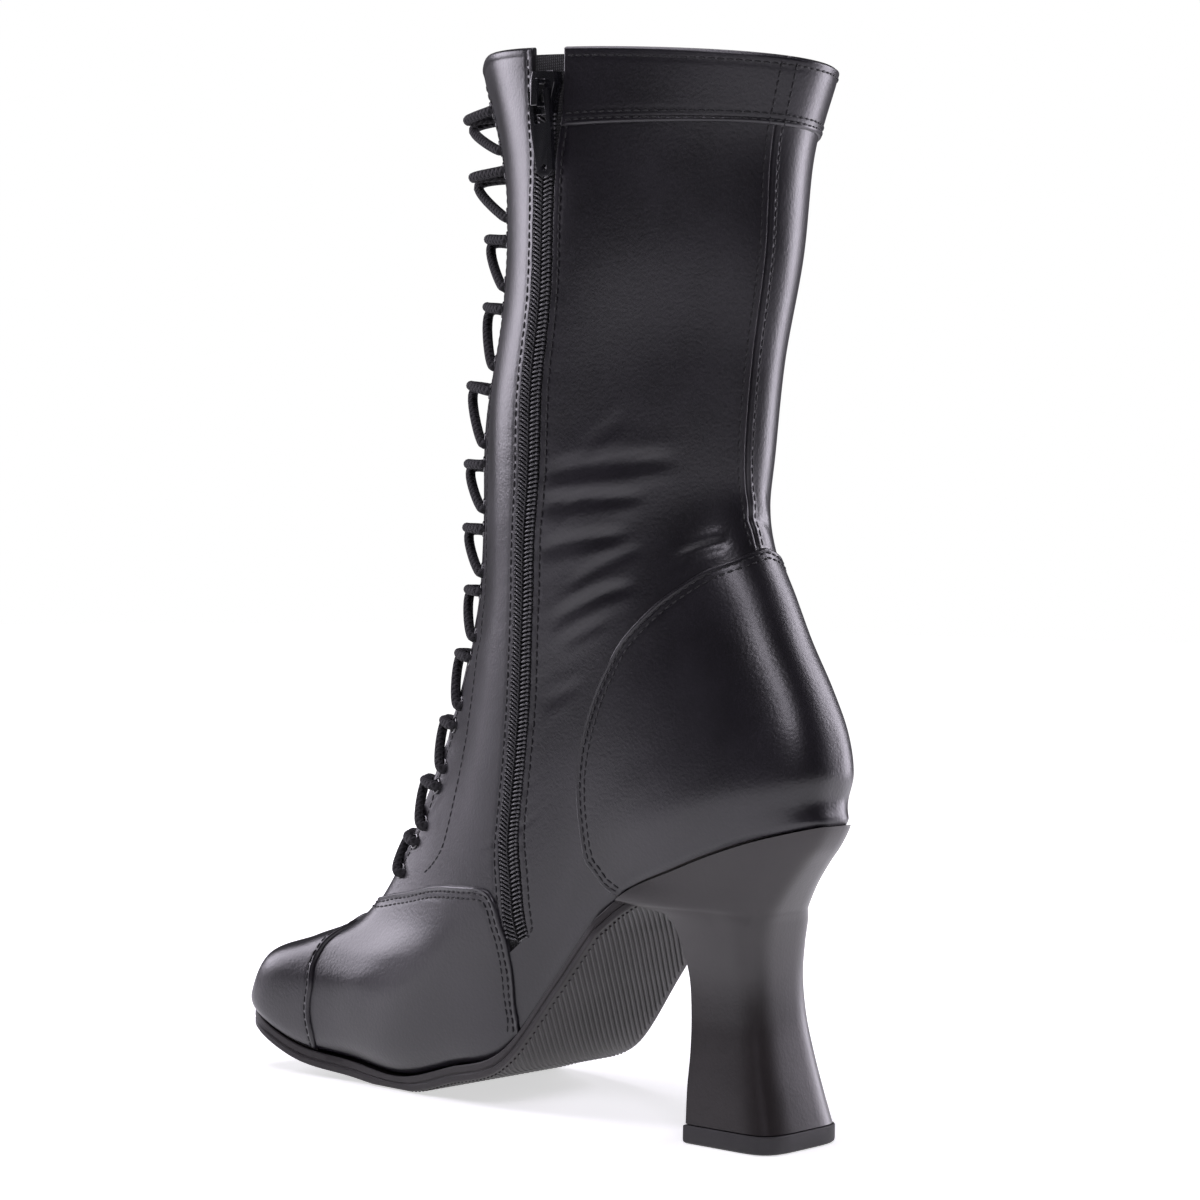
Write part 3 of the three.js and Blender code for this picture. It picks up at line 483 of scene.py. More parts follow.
def grain_group():
    """Leather grain: small soft cells with finer pores, and broad patches of more or less gloss."""
    tree, entry, out = new_tree("leather grain", "ShaderNodeTree",
                                [("Cell", "Float", 0.9), ("Pores", "Float", 0.4)],
                                [("Height", "Float"), ("Patches", "Float")])
    place = node(tree, "ShaderNodeTexCoord").outputs["Object"]
    per_metre = math_node(tree, "DIVIDE", 1000.0, entry.outputs["Cell"])
    warp = noise(tree, place, 260.0, 2.0)["Color"]
    moved = node(tree, "ShaderNodeMix", {"Factor": 0.0012, 4: place, 5: warp}, data_type="VECTOR")
    cells = node(tree, "ShaderNodeTexVoronoi",
                 {"Vector": moved.outputs[1], "Scale": per_metre, "Randomness": 1.0}, feature="SMOOTH_F1")
    pores = noise(tree, place, math_node(tree, "MULTIPLY", per_metre, 2.6), 3.0, 0.6)["Fac"]
    height = math_node(tree, "ADD", math_node(tree, "MULTIPLY", cells.outputs["Distance"], -0.7),
                       math_node(tree, "MULTIPLY", pores, entry.outputs["Pores"]))
    tree.links.new(height, out.inputs["Height"])
    tree.links.new(noise(tree, place, 38.0, 4.0, 0.55)["Fac"], out.inputs["Patches"])
    return tree


def dust_group():
    """A little pale dust in small specks, as a mask."""
    tree, entry, out = new_tree("fine dust", "ShaderNodeTree", [("Amount", "Float", 0.3)], [("Mask", "Float")])
    place = node(tree, "ShaderNodeTexCoord").outputs["Object"]
    specks = math_node(tree, "SUBTRACT", noise(tree, place, 900.0, 2.0)["Fac"], 0.62, True)
    cloudy = math_node(tree, "SUBTRACT", noise(tree, place, 30.0, 3.0)["Fac"], 0.45, True)
    spotted = math_node(tree, "MULTIPLY", math_node(tree, "MULTIPLY", specks, 3.0), cloudy)
    mask = math_node(tree, "MULTIPLY", spotted, entry.outputs["Amount"], True)
    tree.links.new(mask, out.inputs["Mask"])
    return tree


groups = {"grain": grain_group(), "dust": dust_group()}


def material(name, color, roughness, **settings):
    made = bpy.data.materials.new(name)
    made.use_nodes = True
    tree = made.node_tree
    shader = tree.nodes["Principled BSDF"]
    shader.inputs["Base Color"].default_value = (*color, 1)
    shader.inputs["Roughness"].default_value = roughness
    for socket, value in settings.items():
        shader.inputs[socket.replace("_", " ")].default_value = value
    return made, tree, shader


def bump(tree, shader, height, strength, distance):
    made = node(tree, "ShaderNodeBump", {"Strength": strength, "Distance": distance, "Height": height})
    tree.links.new(made.outputs["Normal"], shader.inputs["Normal"])


def use_group(tree, name, **values):
    return node(tree, "ShaderNodeGroup", values, node_tree=groups[name])


def mix_color(tree, share, first, second):
    """A mix of two colours, each a plain tone or an output."""
    ends = {socket: (*tone, 1) if isinstance(tone, tuple) else tone for socket, tone in ((6, first), (7, second))}
    return node(tree, "ShaderNodeMix", {"Factor": share, **ends}, data_type="RGBA").outputs[2]


def dusted(tree, shader, tone, amount, dust_tone):
    mask = use_group(tree, "dust", Amount=amount).outputs["Mask"]
    tree.links.new(mix_color(tree, mask, tone, dust_tone), shader.inputs["Base Color"])


def uneven_gloss(tree, shader, grain, roughness, change):
    share = math_node(tree, "MULTIPLY", grain.outputs["Patches"], change)
    tree.links.new(math_node(tree, "ADD", roughness - change / 2, share), shader.inputs["Roughness"])


def leather(name, dark, light, roughness, cell=0.9, pores=0.4, depth=0.00006, coat=0.25):
    """Smooth leather: patchy colour and gloss, fine grain, and specks of dust."""
    made, tree, shader = material(name, dark, roughness, Coat_Weight=coat, Coat_Roughness=0.3,
                                  Specular_IOR_Level=0.5)
    grain = use_group(tree, "grain", Cell=cell, Pores=pores)
    tone = mix_color(tree, ramp(tree, grain.outputs["Patches"], [(0.35, 0), (0.68, 1)]), dark, light)
    dusted(tree, shader, tone, 0.5, (0.16, 0.15, 0.15))
    uneven_gloss(tree, shader, grain, roughness, 0.16)
    bump(tree, shader, grain.outputs["Height"], 0.5, depth)
    return made


def woven(name, color, count):
    """Woven tape, with its threads along the piece's own UV map."""
    made, tree, shader = material(name, color, 0.85, Sheen_Weight=0.25)
    values = {"Vector": node(tree, "ShaderNodeUVMap").outputs["UV"], "Scale": count, "Distortion": 0.4}
    height = math_node(tree, "MULTIPLY", *[
        node(tree, "ShaderNodeTexWave", values, bands_direction=way).outputs["Fac"] for way in "XY"])
    tone = mix_color(tree, height, tuple(c * 0.5 for c in color), tuple(c * 1.6 for c in color))
    tree.links.new(tone, shader.inputs["Base Color"])
    bump(tree, shader, height, 0.8, 0.0002)
    return made


def braided(name, color, light):
    """Round braided cord: two sets of strands winding opposite ways along the UV map."""
    made, tree, shader = material(name, color, 0.75, Specular_IOR_Level=0.3)
    place = node(tree, "ShaderNodeUVMap").outputs["UV"]
    strands = []
    for slant in (38, -38):
        turned = node(tree, "ShaderNodeMapping", {"Vector": place, "Rotation": (0, 0, math.radians(slant))})
        wave = node(tree, "ShaderNodeTexWave",
                    {"Vector": turned.outputs["Vector"], "Scale": 0.19, "Distortion": 0.0}, bands_direction="X")
        strands.append(wave.outputs["Fac"])
    height = math_node(tree, "MAXIMUM", *strands)
    tree.links.new(mix_color(tree, height, color, light), shader.inputs["Base Color"])
    bump(tree, shader, height, 1.0, 0.0004)
    return made


def rubber(name, dark, light, roughness):
    made, tree, shader = material(name, dark, roughness, Specular_IOR_Level=0.4)
    grain = use_group(tree, "grain", Cell=0.5, Pores=0.8)
    tone = mix_color(tree, ramp(tree, grain.outputs["Patches"], [(0.3, 0), (0.7, 1)]), dark, light)
    dusted(tree, shader, tone, 0.6, (0.2, 0.19, 0.18))
    bump(tree, shader, grain.outputs["Height"], 0.35, 0.00005)
    return made


def plain(name, color, roughness, grain_depth=0.00002, **settings):
    """Enamel, thread and coil: one colour with slightly uneven gloss."""
    made, tree, shader = material(name, color, roughness, **settings)
    grain = use_group(tree, "grain", Cell=0.35, Pores=0.6)
    uneven_gloss(tree, shader, grain, roughness, 0.12)
    bump(tree, shader, grain.outputs["Height"], 0.3, grain_depth)
    return made


upper_leather = leather("upper leather", (0.0062, 0.0052, 0.0078), (0.0115, 0.0098, 0.014), 0.33,
                        depth=0.00015)
lining = leather("lining leather", (0.055, 0.048, 0.044), (0.085, 0.075, 0.068), 0.68, coat=0.0)
raw_edge = leather("raw leather edge", (0.008, 0.008, 0.009), (0.02, 0.018, 0.018), 0.75, 0.5, 0.9, coat=0.0)
heel_leather = leather("heel leather", (0.0125, 0.0098, 0.0105), (0.021, 0.0168, 0.018), 0.33, 0.8, 0.3,
                       0.00007)
sole_rubber = rubber("sole rubber", (0.015, 0.0125, 0.0135), (0.026, 0.022, 0.024), 0.5)
lift_rubber = rubber("lift rubber", (0.024, 0.0225, 0.024), (0.036, 0.034, 0.037), 0.62)
tape_cloth = woven("zip tape cloth", (0.010, 0.010, 0.011), 1.4)
lace_cord = braided("lace cord", (0.0025, 0.0025, 0.003), (0.014, 0.013, 0.016))
thread = plain("thread", (0.006, 0.0055, 0.007), 0.6)
coil_plastic = plain("coil plastic", (0.045, 0.044, 0.048), 0.24, Specular_IOR_Level=0.9)
enamel = plain("black enamel", (0.008, 0.008, 0.010), 0.16, 0.00001, Coat_Weight=0.8, Coat_Roughness=0.08)


# Upper: the quarters, one wall all round with the throat and the zip's window left open
def quarter_grid():
    """Rows and turns of the wall's points, the column where each part starts, and the cells that are closed."""
    rows = np.unique(np.round(np.concatenate([
        np.linspace(0, top_row, 150), top_row - near_edge / collar_rise, zip_foot + near_edge[:6] / 20,
        zip_foot - near_edge[:6] / 20, throat_start + np.array([0, 0.02, 0.05, 0.1, 0.16]),
    ]), 5))
    rows = rows[np.concatenate([[True], np.diff(rows) > 0.003])]
    rear = zip_turn(rows, -window_half(rows))[:, None]
    fore = zip_turn(rows, window_half(rows))[:, None] - 2
    seam = seam_turn(rows)[:, None]
    medial = front_turn(rows, throat_half(rows))[:, None] - 2
    lateral = front_turn(rows, -throat_half(rows))[:, None] - 2
    opening = np.linspace(0, 1, 7)
    parts = [(rear, seam, spread(48, 90)), (seam, lateral, spread(70, 140)), (lateral, medial, opening),
             (medial, fore, spread(34, 70)), (fore, rear - 2, opening)]
    turns = np.concatenate([a + (b - a) * share[None, :-1] for a, b, share in parts], 1)
    counts = np.cumsum([0] + [len(share) - 1 for _, _, share in parts])
    keep = np.ones((len(rows) - 1, counts[-1]), bool)
    for first_row, part in ((throat_start, 2), (zip_foot, 4)):
        keep[np.ix_(rows[:-1] >= first_row - 1e-6, np.arange(counts[part], counts[part + 1]))] = False
    row = np.broadcast_to(rows[:, None], turns.shape).copy()
    run = run_length(last_point(row, turns), 1)
    from_corner = np.clip((run - run[:, [counts[3]]]) / corner_radius, 0, 1)
    fall = corner_radius / 26 * (1 - np.sqrt(1 - (1 - from_corner) ** 2))
    fall[:, :counts[3]] = 0
    row -= fall * smooth_step(row, 11.8, 13)
    return row, turns, counts, keep


def quarter_piece():
    row, turn, counts, keep = quarter_grid()
    run = run_length(last_point(row, turn), 1)
    column = np.arange(turn.shape[1])
    to_rear, to_seam, to_lateral, to_medial, to_fore = (np.abs(run - run[:, [k]]) for k in counts[:5])
    to_throat = np.hypot(np.where(column < counts[3], to_lateral, to_medial),
                         np.maximum(throat_start - row, 0) * throat_rise)
    to_zip = np.where(column < counts[2], to_rear, to_fore)
    to_zip = np.hypot(np.where(column >= counts[4], 0, to_zip), np.maximum(zip_foot - row, 0) * zip_rise)
    to_top = (top_row - row) * collar_rise
    # Rolled edges with a swell beside them, and a groove along each stitch row
    top = np.full(turn.shape, quarter_top)
    top += rolled(to_throat, 0.9, 0.9) + 0.18 * bump_at(to_throat, 1.4, 0.9)
    top += rolled(to_top, 0.9, 0.9) + 0.15 * bump_at(to_top, 1.2, 0.8)
    top += rolled(to_zip, 0.35, 0.35)
    top -= 0.12 * bump_at(to_throat, throat_stitches[0], 0.45) + 0.12 * bump_at(to_top, collar_stitch, 0.45)
    top -= 0.16 * bump_at(to_zip, zip_stitch_behind, 0.5)
    above_counter = smooth_step(row, 6.7, 7.1)
    top += above_counter * (0.25 * bump_at(to_seam, 1.3, 1.1) - 0.55 * bump_at(to_seam, 0, 0.35)
                            - 0.12 * bump_at(to_seam, seam_stitch, 0.4))
    # Small puckers along the zip
    pucker = np.sin(row * 26 + 0.6 * np.sin(row * 9)) * np.exp(-to_zip / 6)
    top += 0.10 * pucker * smooth_step(row, 2.6, 3.2) - tucked(row)
    low = np.full(turn.shape, quarter_low) - rolled(to_top, 0.5, 0.7)
    mesh = shell("quarters", skin(row, turn, top), skin(row, turn, low), [upper_leather, lining, raw_edge], keep,
                 ring=True)
    return put("quarters", mesh, "boot", ["upper"])


quarter_piece()


# Overlays: half domes whose rims run through measured seam points, from the foot to the middle of the top
def rim_curve(points):
    rows, turns = np.array(points, float).T
    step = np.hypot(np.diff(rows) * 20, np.diff(turns) * 220)
    stations = np.concatenate([[0], np.cumsum(step)]) / np.sum(step)
    return lambda share: (through(stations, rows, share), through(stations, turns, share))


def dome_place(rim, centre, across, up):
    """A place on a half dome, from two coordinates on a square that shrinks towards the foot's middle."""
    reach = np.maximum(np.abs(across), up)
    side = up / np.maximum(np.abs(across), 1e-9)
    top = 2 - np.abs(across) / np.maximum(up, 1e-9)
    share = np.clip(np.where(np.abs(across) >= up, side, top) / 2, 0, 1)
    rim_row, rim_half = rim(share)
    return rim_row * reach, centre + np.sign(across) * rim_half * reach


def dome_piece(name, rim, centre, size, top, low, node_name, drop, stitch_rows, fold=0.2):
    """An overlay with a rolled edge along its rim. Size is its height and its width in millimetres."""
    up = spread(60, size[0], near=False)[:, None]
    across = (spread(90, size[1]) * 2 - 1)[None, :]
    up, across = np.broadcast_arrays(up, across)
    row, turn = dome_place(rim, centre, across, up)
    base = last_point(row, turn)
    down = run_length(base[::-1], 0)[::-1]
    left = run_length(base, 1)
    to_rim = np.minimum(down, np.minimum(left, left[:, -1:] - left))
    height = top + rolled(to_rim, drop, 0.8) + fold * bump_at(to_rim, 0.9, 0.6) - tucked(row)
    for place in stitch_rows:
        height -= 0.13 * bump_at(to_rim, place, 0.42)
    mesh = shell(name, skin(row, turn, height), skin(row, turn, low), [upper_leather, lining, upper_leather])
    return put(name, mesh, "boot", [node_name])


vamp_rim = rim_curve([
    (0, 0.518), (0.6, 0.521), (1.53, 0.519), (2.35, 0.506), (3.14, 0.483), (3.97, 0.447), (4.31, 0.403),
    (4.52, 0.338), (4.56, 0.197), (4.45, 0.100), (4.38, 0)])
cap_rim = rim_curve([
    (0, 0.239), (0.84, 0.253), (1.48, 0.242), (2.08, 0.225), (2.82, 0.164), (3.40, 0.110), (3.90, 0.060),
    (4.05, 0)])
counter_rim = rim_curve([
    (0, 0.365), (1.22, 0.379), (2.48, 0.405), (3.95, 0.430), (4.55, 0.433), (5.01, 0.428), (5.30, 0.419),
    (5.59, 0.405), (5.83, 0.386), (6.10, 0.361), (6.30, 0.328), (6.48, 0.289), (6.62, 0.240), (6.75, 0.181),
    (6.83, 0.093), (6.97, 0)])
dome_piece("vamp_overlay", vamp_rim, 1, (75, 170), vamp_top, quarter_low - 0.05, "vamp", 0.75, vamp_stitches)
dome_piece("toe_cap_overlay", cap_rim, 1, (60, 90), cap_top, vamp_top - 0.15, "toe_cap", 0.7, cap_stitches, 0.3)
dome_piece("counter_overlay", counter_rim, 0, (95, 120), counter_top, quarter_top - 0.2, "counter", 0.8,
           counter_stitches)


# Cuff: a band behind the zip and round to the lateral facing
def cuff_piece():
    rows = cuff_low_row + (cuff_high_row - cuff_low_row) * spread(12, 26)
    rear = zip_turn(rows, -window_half(rows) - 0.25)[:, None]
    lateral = front_turn(rows, -throat_half(rows) - 0.25)[:, None] - 2
    turn = rear + (lateral - rear) * spread(110, 240)[None, :]
    row = np.broadcast_to(rows[:, None], turn.shape)
    base = last_point(row, turn)
    across, up = run_length(base, 1), run_length(base, 0)
    to_end = np.minimum(across, across[:, -1:] - across)
    to_top = up[-1:] - up
    to_seam = np.abs(turn - seam_turn(rows)[:, None]) * np.linalg.norm(around(row, turn), axis=-1)
    top = cuff_top + rolled(np.minimum(to_end, to_top), 0.5, 0.6) + rolled(up, 0.7, 0.6)
    top += 0.15 * bump_at(up, 0.9, 0.5) - 0.12 * bump_at(to_top, collar_stitch, 0.45)
    top -= 0.10 * bump_at(to_seam, 0, 0.6)
    for place in cuff_stitches:
        top -= 0.12 * bump_at(up, place, 0.4)
    mesh = shell("cuff_band", skin(row, turn, top), skin(row, turn, quarter_top - 0.3),
                 [upper_leather, lining, upper_leather])
    return put("cuff_band", mesh, "boot", ["cuff"])


cuff_piece()


# Tongue, softly padded, behind the throat
def tongue_piece():
    rows = np.linspace(*tongue_rows, 110)
    share = spread(24, 36)
    across = (share * 2 - 1)[None, :]
    half = (19 * (0.72 + 0.28 * rows / top_row))[:, None]
    row = np.broadcast_to(rows[:, None], (len(rows), len(share)))
    turn = front_turn(row, across * half + 1e-6)
    to_edge = np.minimum((1 - np.abs(across)) * half, (tongue_rows[1] - row) * tongue_rise)
    swell = 0.5 * np.sin(np.pi * share)[None, :] * (0.6 + 0.4 * np.sin(row * 5.1))
    top = tongue_top + rolled(to_edge, 0.8, 1.2) + swell
    mesh = shell("tongue_leather", skin(row, turn, top), skin(row, turn, tongue_top - 1.4),
                 [upper_leather, lining, upper_leather])
    return put("tongue_leather", mesh, "boot", ["tongue"])


tongue_piece()


# Sole, heel and top-lift
def feather_edge(turn, grow):
    point = last_point(0.0, turn)
    along = around(0.0, turn)
    out = unit(np.stack([-along[..., 1], along[..., 0]], -1))
    grown = point.copy()
    grown[..., :2] += out * np.asarray(grow)[..., None]
    return grown


def turn_at(x):
    share = np.clip((x - last_rows["back_x"][0]) / stick_length, 0, 1)
    return np.arccos(1 - 2 * share) / np.pi


def feather_height(x):
    return evenly(feather_line, (x - last_rows["back_x"][0]) / stick_length)


def sole_centre(x):
    turn = turn_at(x)
    return (last_point(0.0, turn)[..., 1] + last_point(0.0, 2 - turn)[..., 1]) / 2



wing_tip = last_rows["back_x"][0] + wing_reach
sole_back = wing_tip - sole_under_heel


def inside_wing(x):
    share = np.clip((wing_tip + 3 - x) / (3 + sole_under_heel), 0, 1)
    return sole_overhang - (sole_overhang + wing_thickness) * share ** 0.6


def sole_bottom(x):
    low = feather_height(x) - sole_thickness
    return np.where(low > 1.2, low, np.maximum(low + np.maximum(1.2 - low, 0) ** 2 * 0.12, 0) * (low > -1))


def outsole_piece():
    turns = np.concatenate([np.linspace(turn_at(sole_back), 0.9, 90), 1 - 0.1 * np.linspace(1, 0, 40)[1:] ** 1.6])
    grow = inside_wing(last_point(0.0, turns)[..., 0])
    outline = np.concatenate([feather_edge(turns, grow), feather_edge(2 - turns, grow)[::-1][1:]])
    x = outline[:, 0]
    bottom = sole_bottom(x) + rib_height
    rim_top = feather_height(x) - clearance
    # Each level: its share of the way down, and how far it lies inside the outline
    levels = [(0, 1.4), (-0.03, 0.25), (0.04, 0), (0.38, -0.05), (0.44, 0.3), (0.50, 0.42), (0.56, 0.3),
              (0.62, 0), (0.90, 0), (0.97, 0.25), (1.0, 0.7)]
    out = unit(np.stack([-np.gradient(outline[:, 1]), np.gradient(x)], -1))
    rings = []
    for share, inset in levels:
        ring = outline.copy()
        ring[:, :2] -= out * inset * np.where(x < sole_back + 1, 0.0, 1.0)[:, None]
        ring[:, 2] = rim_top + (bottom - rim_top) * share
        rings.append(ring)
    count = len(outline)
    points = np.concatenate(rings)
    faces = band_faces(count, len(levels))
    i = np.arange(count // 2)
    for base in (0, (len(levels) - 1) * count):
        faces.append(np.stack([base + i, base + i + 1, base + count - 2 - i, base + count - 1 - i], -1))
    mesh = mesh_of("rubber_sole", points, faces, [sole_rubber], sharp=35)
    return put("rubber_sole", mesh, "boot", ["outsole"])


outsole_piece()

seat_back = last_point(0.0, 0.0)
seat_front = last_point(0.0, turn_at(wing_tip))
seat_half = seat_front[1] - sole_centre(wing_tip)
foot = (lift_length / 2, lift_length / 2, lift_width / 2)
waist = (lift_length / 2, lift_length / 2, heel_waist_width / 2)
wings = (-seat_back[0], wing_tip, seat_half)
# Each section: the sizes it is a share of, then height, back, breast, half width, how far it is seat-shaped
# and how much narrower it is behind the wings
heel_sections = [
    (foot, 0, 1, 1, 1, 0, 0), (foot, 0.116, 0.80, 1.05, 0.92, 0, 0), (foot, 0.233, 0.62, 1.06, 0.84, 0, 0),
    (waist, 0.350, 0.48, 1.11, 1.01, 0, 0), (waist, 0.478, 0.42, 1.20, 1, 0.05, 0),
    (waist, 0.585, 0.45, 1.36, 1.13, 0.15, 0), (waist, 0.659, 0.54, 1.58, 1.31, 0.30, 0.03),
    (wings, 0.693, 0.344, 0.817, 0.80, 0.45, 0.10), (wings, 0.712, 0.377, 1, 0.907, 0.55, 0.15),
    (wings, 0.787, 0.543, 1, 0.947, 0.78, 0.10), (wings, 0.862, 0.732, 1, 0.973, 0.92, 0.05),
    (wings, 0.931, 0.920, 1, 0.993, 1, 0.015), (wings, 1, 1.03, 1, 1, 1, 0), (wings, 1.064, 1.03, 1, 1, 1, 0),
]
heel_foot = lift_thickness + clearance


def heel_ring(height, back, breast, half, seat, narrow=0.0, count=40, corner=0.45):
    """A horizontal section of the heel: square at the foot, shaped as the seat at the top."""
    step = np.linspace(0, 1, count)
    quarter = np.minimum(step * 2, 1) * np.pi / 2
    square_x = np.where(step < 0.5, 0.5 * (1 - np.cos(quarter) ** corner), step)
    square_y = np.where(step < 0.5, np.sin(quarter) ** corner, 1)
    half_ring = []
    for side in (1, -1):
        turn = step * turn_at(wing_tip)
        loop = last_point(0.0, turn if side > 0 else 2 - turn)
        seat_x = (loop[:, 0] - seat_back[0]) / (seat_front[0] - seat_back[0])
        centre = sole_centre(loop[:, 0])
        seat_y = np.abs(loop[:, 1] - centre) / seat_half
        x = back + (breast - back) * (square_x + (seat_x - square_x) * seat)
        width = half * (1 - narrow * (1 - smooth_step(x, 2, breast)))
        y = side * width * (square_y + (seat_y - square_y) * seat) + centre * seat
        half_ring.append(np.stack([x, y, np.full(count, height)], -1))
    front = np.linspace(0, 1, 14)[1:-1, None]
    across = half_ring[0][-1] + (half_ring[1][-1] - half_ring[0][-1]) * front
    return np.concatenate([half_ring[0], across, half_ring[1][::-1][:-1]])


def lofted(name, rings, looks):
    count = len(rings[0])
    points = list(np.concatenate(rings))
    faces = band_faces(count, len(rings))
    i = np.arange(count)
    for k in (0, len(rings) - 1):
        points.append(np.mean(rings[k], 0))
        faces.append(np.stack([k * count + i, k * count + (i + 1) % count, np.full(count, len(points) - 1)], -1))
    return mesh_of(name, np.array(points), faces, looks, sharp=35)


def cut_away(block, cutters, look):
    """The mesh less the cutters, by exact booleans that are applied."""
    whole = bpy.data.objects.new("work", block)
    bpy.context.scene.collection.objects.link(whole)
    spare = []
    for cutter in cutters:
        tool = bpy.data.objects.new("tool", cutter)
        bpy.context.scene.collection.objects.link(tool)
        spare.append(tool)
        cut = whole.modifiers.new("cut", "BOOLEAN")
        cut.operation = "DIFFERENCE"
        cut.solver = "EXACT"
        cut.object = tool
    made = bpy.data.meshes.new_from_object(whole.evaluated_get(bpy.context.evaluated_depsgraph_get()))
    for gone in [whole, *spare]:
        bpy.data.objects.remove(gone)
    made.materials.clear()
    made.materials.append(look)
    return smoothed(made, 30)


def slab(name, x, low, high, half):
    """A cutter between two heights along X, with its own half width to either side."""
    left, right = half(x, 1), half(x, -1)
    points = np.concatenate([np.stack([x, side, z], -1) for z in (low(x), high(x)) for side in (left, right)])
    n = len(x)
    i = np.arange(n - 1)
    a, b, c, d = 0, n, 2 * n, 3 * n
    faces = [np.stack([p + i, p + i + 1, q + i + 1, q + i], -1) for p, q in ((a, b), (b, d), (d, c), (c, a))]
    faces.append(np.array([[a, b, d, c], [a + n - 1, c + n - 1, d + n - 1, b + n - 1]]))
    return mesh_of(name, points, faces, [], sharp=30)


def heel_piece():
    table = np.array([[heel_foot + h * (seat_height - heel_foot), -b * of[0], f * of[1], w * of[2], s, n]
                      for of, h, b, f, w, s, n in heel_sections])
    step = np.concatenate([[0], np.cumsum(np.hypot(np.diff(table[:, 0]), 0.45 * np.diff(table[:, 2])))])
    at = np.linspace(0, step[-1], 120)
    smooth = np.stack([through(step, table[:, k], at) for k in range(6)], -1)
    block = lofted("heel_block", [heel_ring(*line) for line in smooth], [heel_leather])
    # What lies over the feather edge, and the room for the sole, are cut away
    over = slab("over", np.linspace(last_rows["back_x"][0] - 6, wing_tip + 14, 60),
                lambda x: feather_height(x) - clearance, lambda x: feather_height(x) + 40,
                lambda x, side: np.full(len(x), side * 60.0))
    breast = waist[1] * 1.58
    stations = np.unique(np.concatenate([np.linspace(sole_back - clearance, breast - 0.01, 4),
                                         np.linspace(breast, wing_tip + 12, 30)]))

    def under_sole(x):
        return np.where(x < breast, feather_height(x) - sole_thickness - clearance, seat_height * 0.6)

    def beside_sole(x, side):
        turn = turn_at(x) if side > 0 else 2 - turn_at(x)
        return feather_edge(turn, inside_wing(x) + clearance)[:, 1]

    room = slab("room", stations, under_sole, lambda x: feather_height(x) + 20, beside_sole)
    mesh = cut_away(block, [over, room], heel_leather)
    return put("covered_heel", mesh, "boot", ["heel"])


heel_piece()


def lift_piece():
    rings = []
    for height, inset in ((0, 0.6), (0.2, 0), (0.6, -0.4), (1.2, -0.5), (lift_thickness - 0.3, -0.5),
                          (lift_thickness, -0.3)):
        ring = heel_ring(height, -foot[0], foot[1], foot[2], 0)
        ring[:, :2] -= np.sign(ring[:, :2]) * inset * np.minimum(np.abs(ring[:, :2]) / 8, 1)
        rings.append(ring)
    return put("heel_lift", lofted("heel_lift", rings, [lift_rubber]), "boot", ["top_lift"])


lift_piece()


# Geometry Nodes trees for what repeats
def growing_tree(name, sizes):
    """A tree that grows pieces from points or lines, with named sizes in metres and a material."""
    inputs = [("Geometry", "Geometry", None), *[(label, "Float", value) for label, value in sizes.items()],
              ("Material", "Material", None)]
    return new_tree(name, "GeometryNodeTree", inputs, [("Geometry", "Geometry")])


def finish_tree(tree, entry, out, made):
    """Real, smooth geometry in the given material."""
    real = node(tree, "GeometryNodeRealizeInstances", {"Geometry": made})
    smooth = node(tree, "GeometryNodeSetShadeSmooth", {"Geometry": real.outputs["Geometry"]})
    look = node(tree, "GeometryNodeSetMaterial",
                {"Geometry": smooth.outputs["Geometry"], "Material": entry.outputs["Material"]})
    tree.links.new(look.outputs["Geometry"], out.inputs["Geometry"])
    return tree


def aligned(tree, vector, values=None, **settings):
    """A rotation that turns one axis to a vector that each point carries."""
    stored = node(tree, "GeometryNodeInputNamedAttribute", {"Name": vector}, data_type="FLOAT_VECTOR")
    values = {"Vector": stored.outputs["Attribute"], **(values or {})}
    return node(tree, "FunctionNodeAlignRotationToVector", values, **settings).outputs["Rotation"]


def circle(tree, resolution, radius):
    values = {"Resolution": resolution, "Radius": radius}
    return node(tree, "GeometryNodeCurvePrimitiveCircle", values).outputs["Curve"]


def placed_beads_tree():
    """One bead on each point, laid along one vector with its back to another."""
    tree, entry, out = growing_tree("placed beads", {"Length": 0.002, "Width": 0.0006, "Height": 0.0004})
    shape = node(tree, "GeometryNodeMeshUVSphere", {"Segments": 8, "Rings": 5, "Radius": 0.5})
    upright = node(tree, "GeometryNodeTransform",
                   {"Geometry": shape.outputs["Mesh"], "Rotation": (0, math.radians(90), 0)})
    sizes = node(tree, "ShaderNodeCombineXYZ", {
        axis: entry.outputs[label] for axis, label in zip("XYZ", ("Length", "Width", "Height"))})
    along = aligned(tree, "along", axis="X")
    facing = aligned(tree, "out", {"Rotation": along}, axis="Z", pivot_axis="X")
    place = node(tree, "GeometryNodeInstanceOnPoints", {
        "Points": entry.outputs["Geometry"], "Instance": upright.outputs["Geometry"],
        "Rotation": facing, "Scale": sizes.outputs["Vector"]})
    return finish_tree(tree, entry, out, place.outputs["Instances"])


def placed_rings_tree():
    """One round ring on each point, lying flat on the surface."""
    tree, entry, out = growing_tree("placed rings", {"Radius": 0.0022, "Thickness": 0.0006})
    ring = node(tree, "GeometryNodeCurveToMesh", {
        "Curve": circle(tree, 20, entry.outputs["Radius"]),
        "Profile Curve": circle(tree, 8, entry.outputs["Thickness"])})
    place = node(tree, "GeometryNodeInstanceOnPoints", {
        "Points": entry.outputs["Geometry"], "Instance": ring.outputs["Mesh"],
        "Rotation": aligned(tree, "out", axis="Z")})
    return finish_tree(tree, entry, out, place.outputs["Instances"])


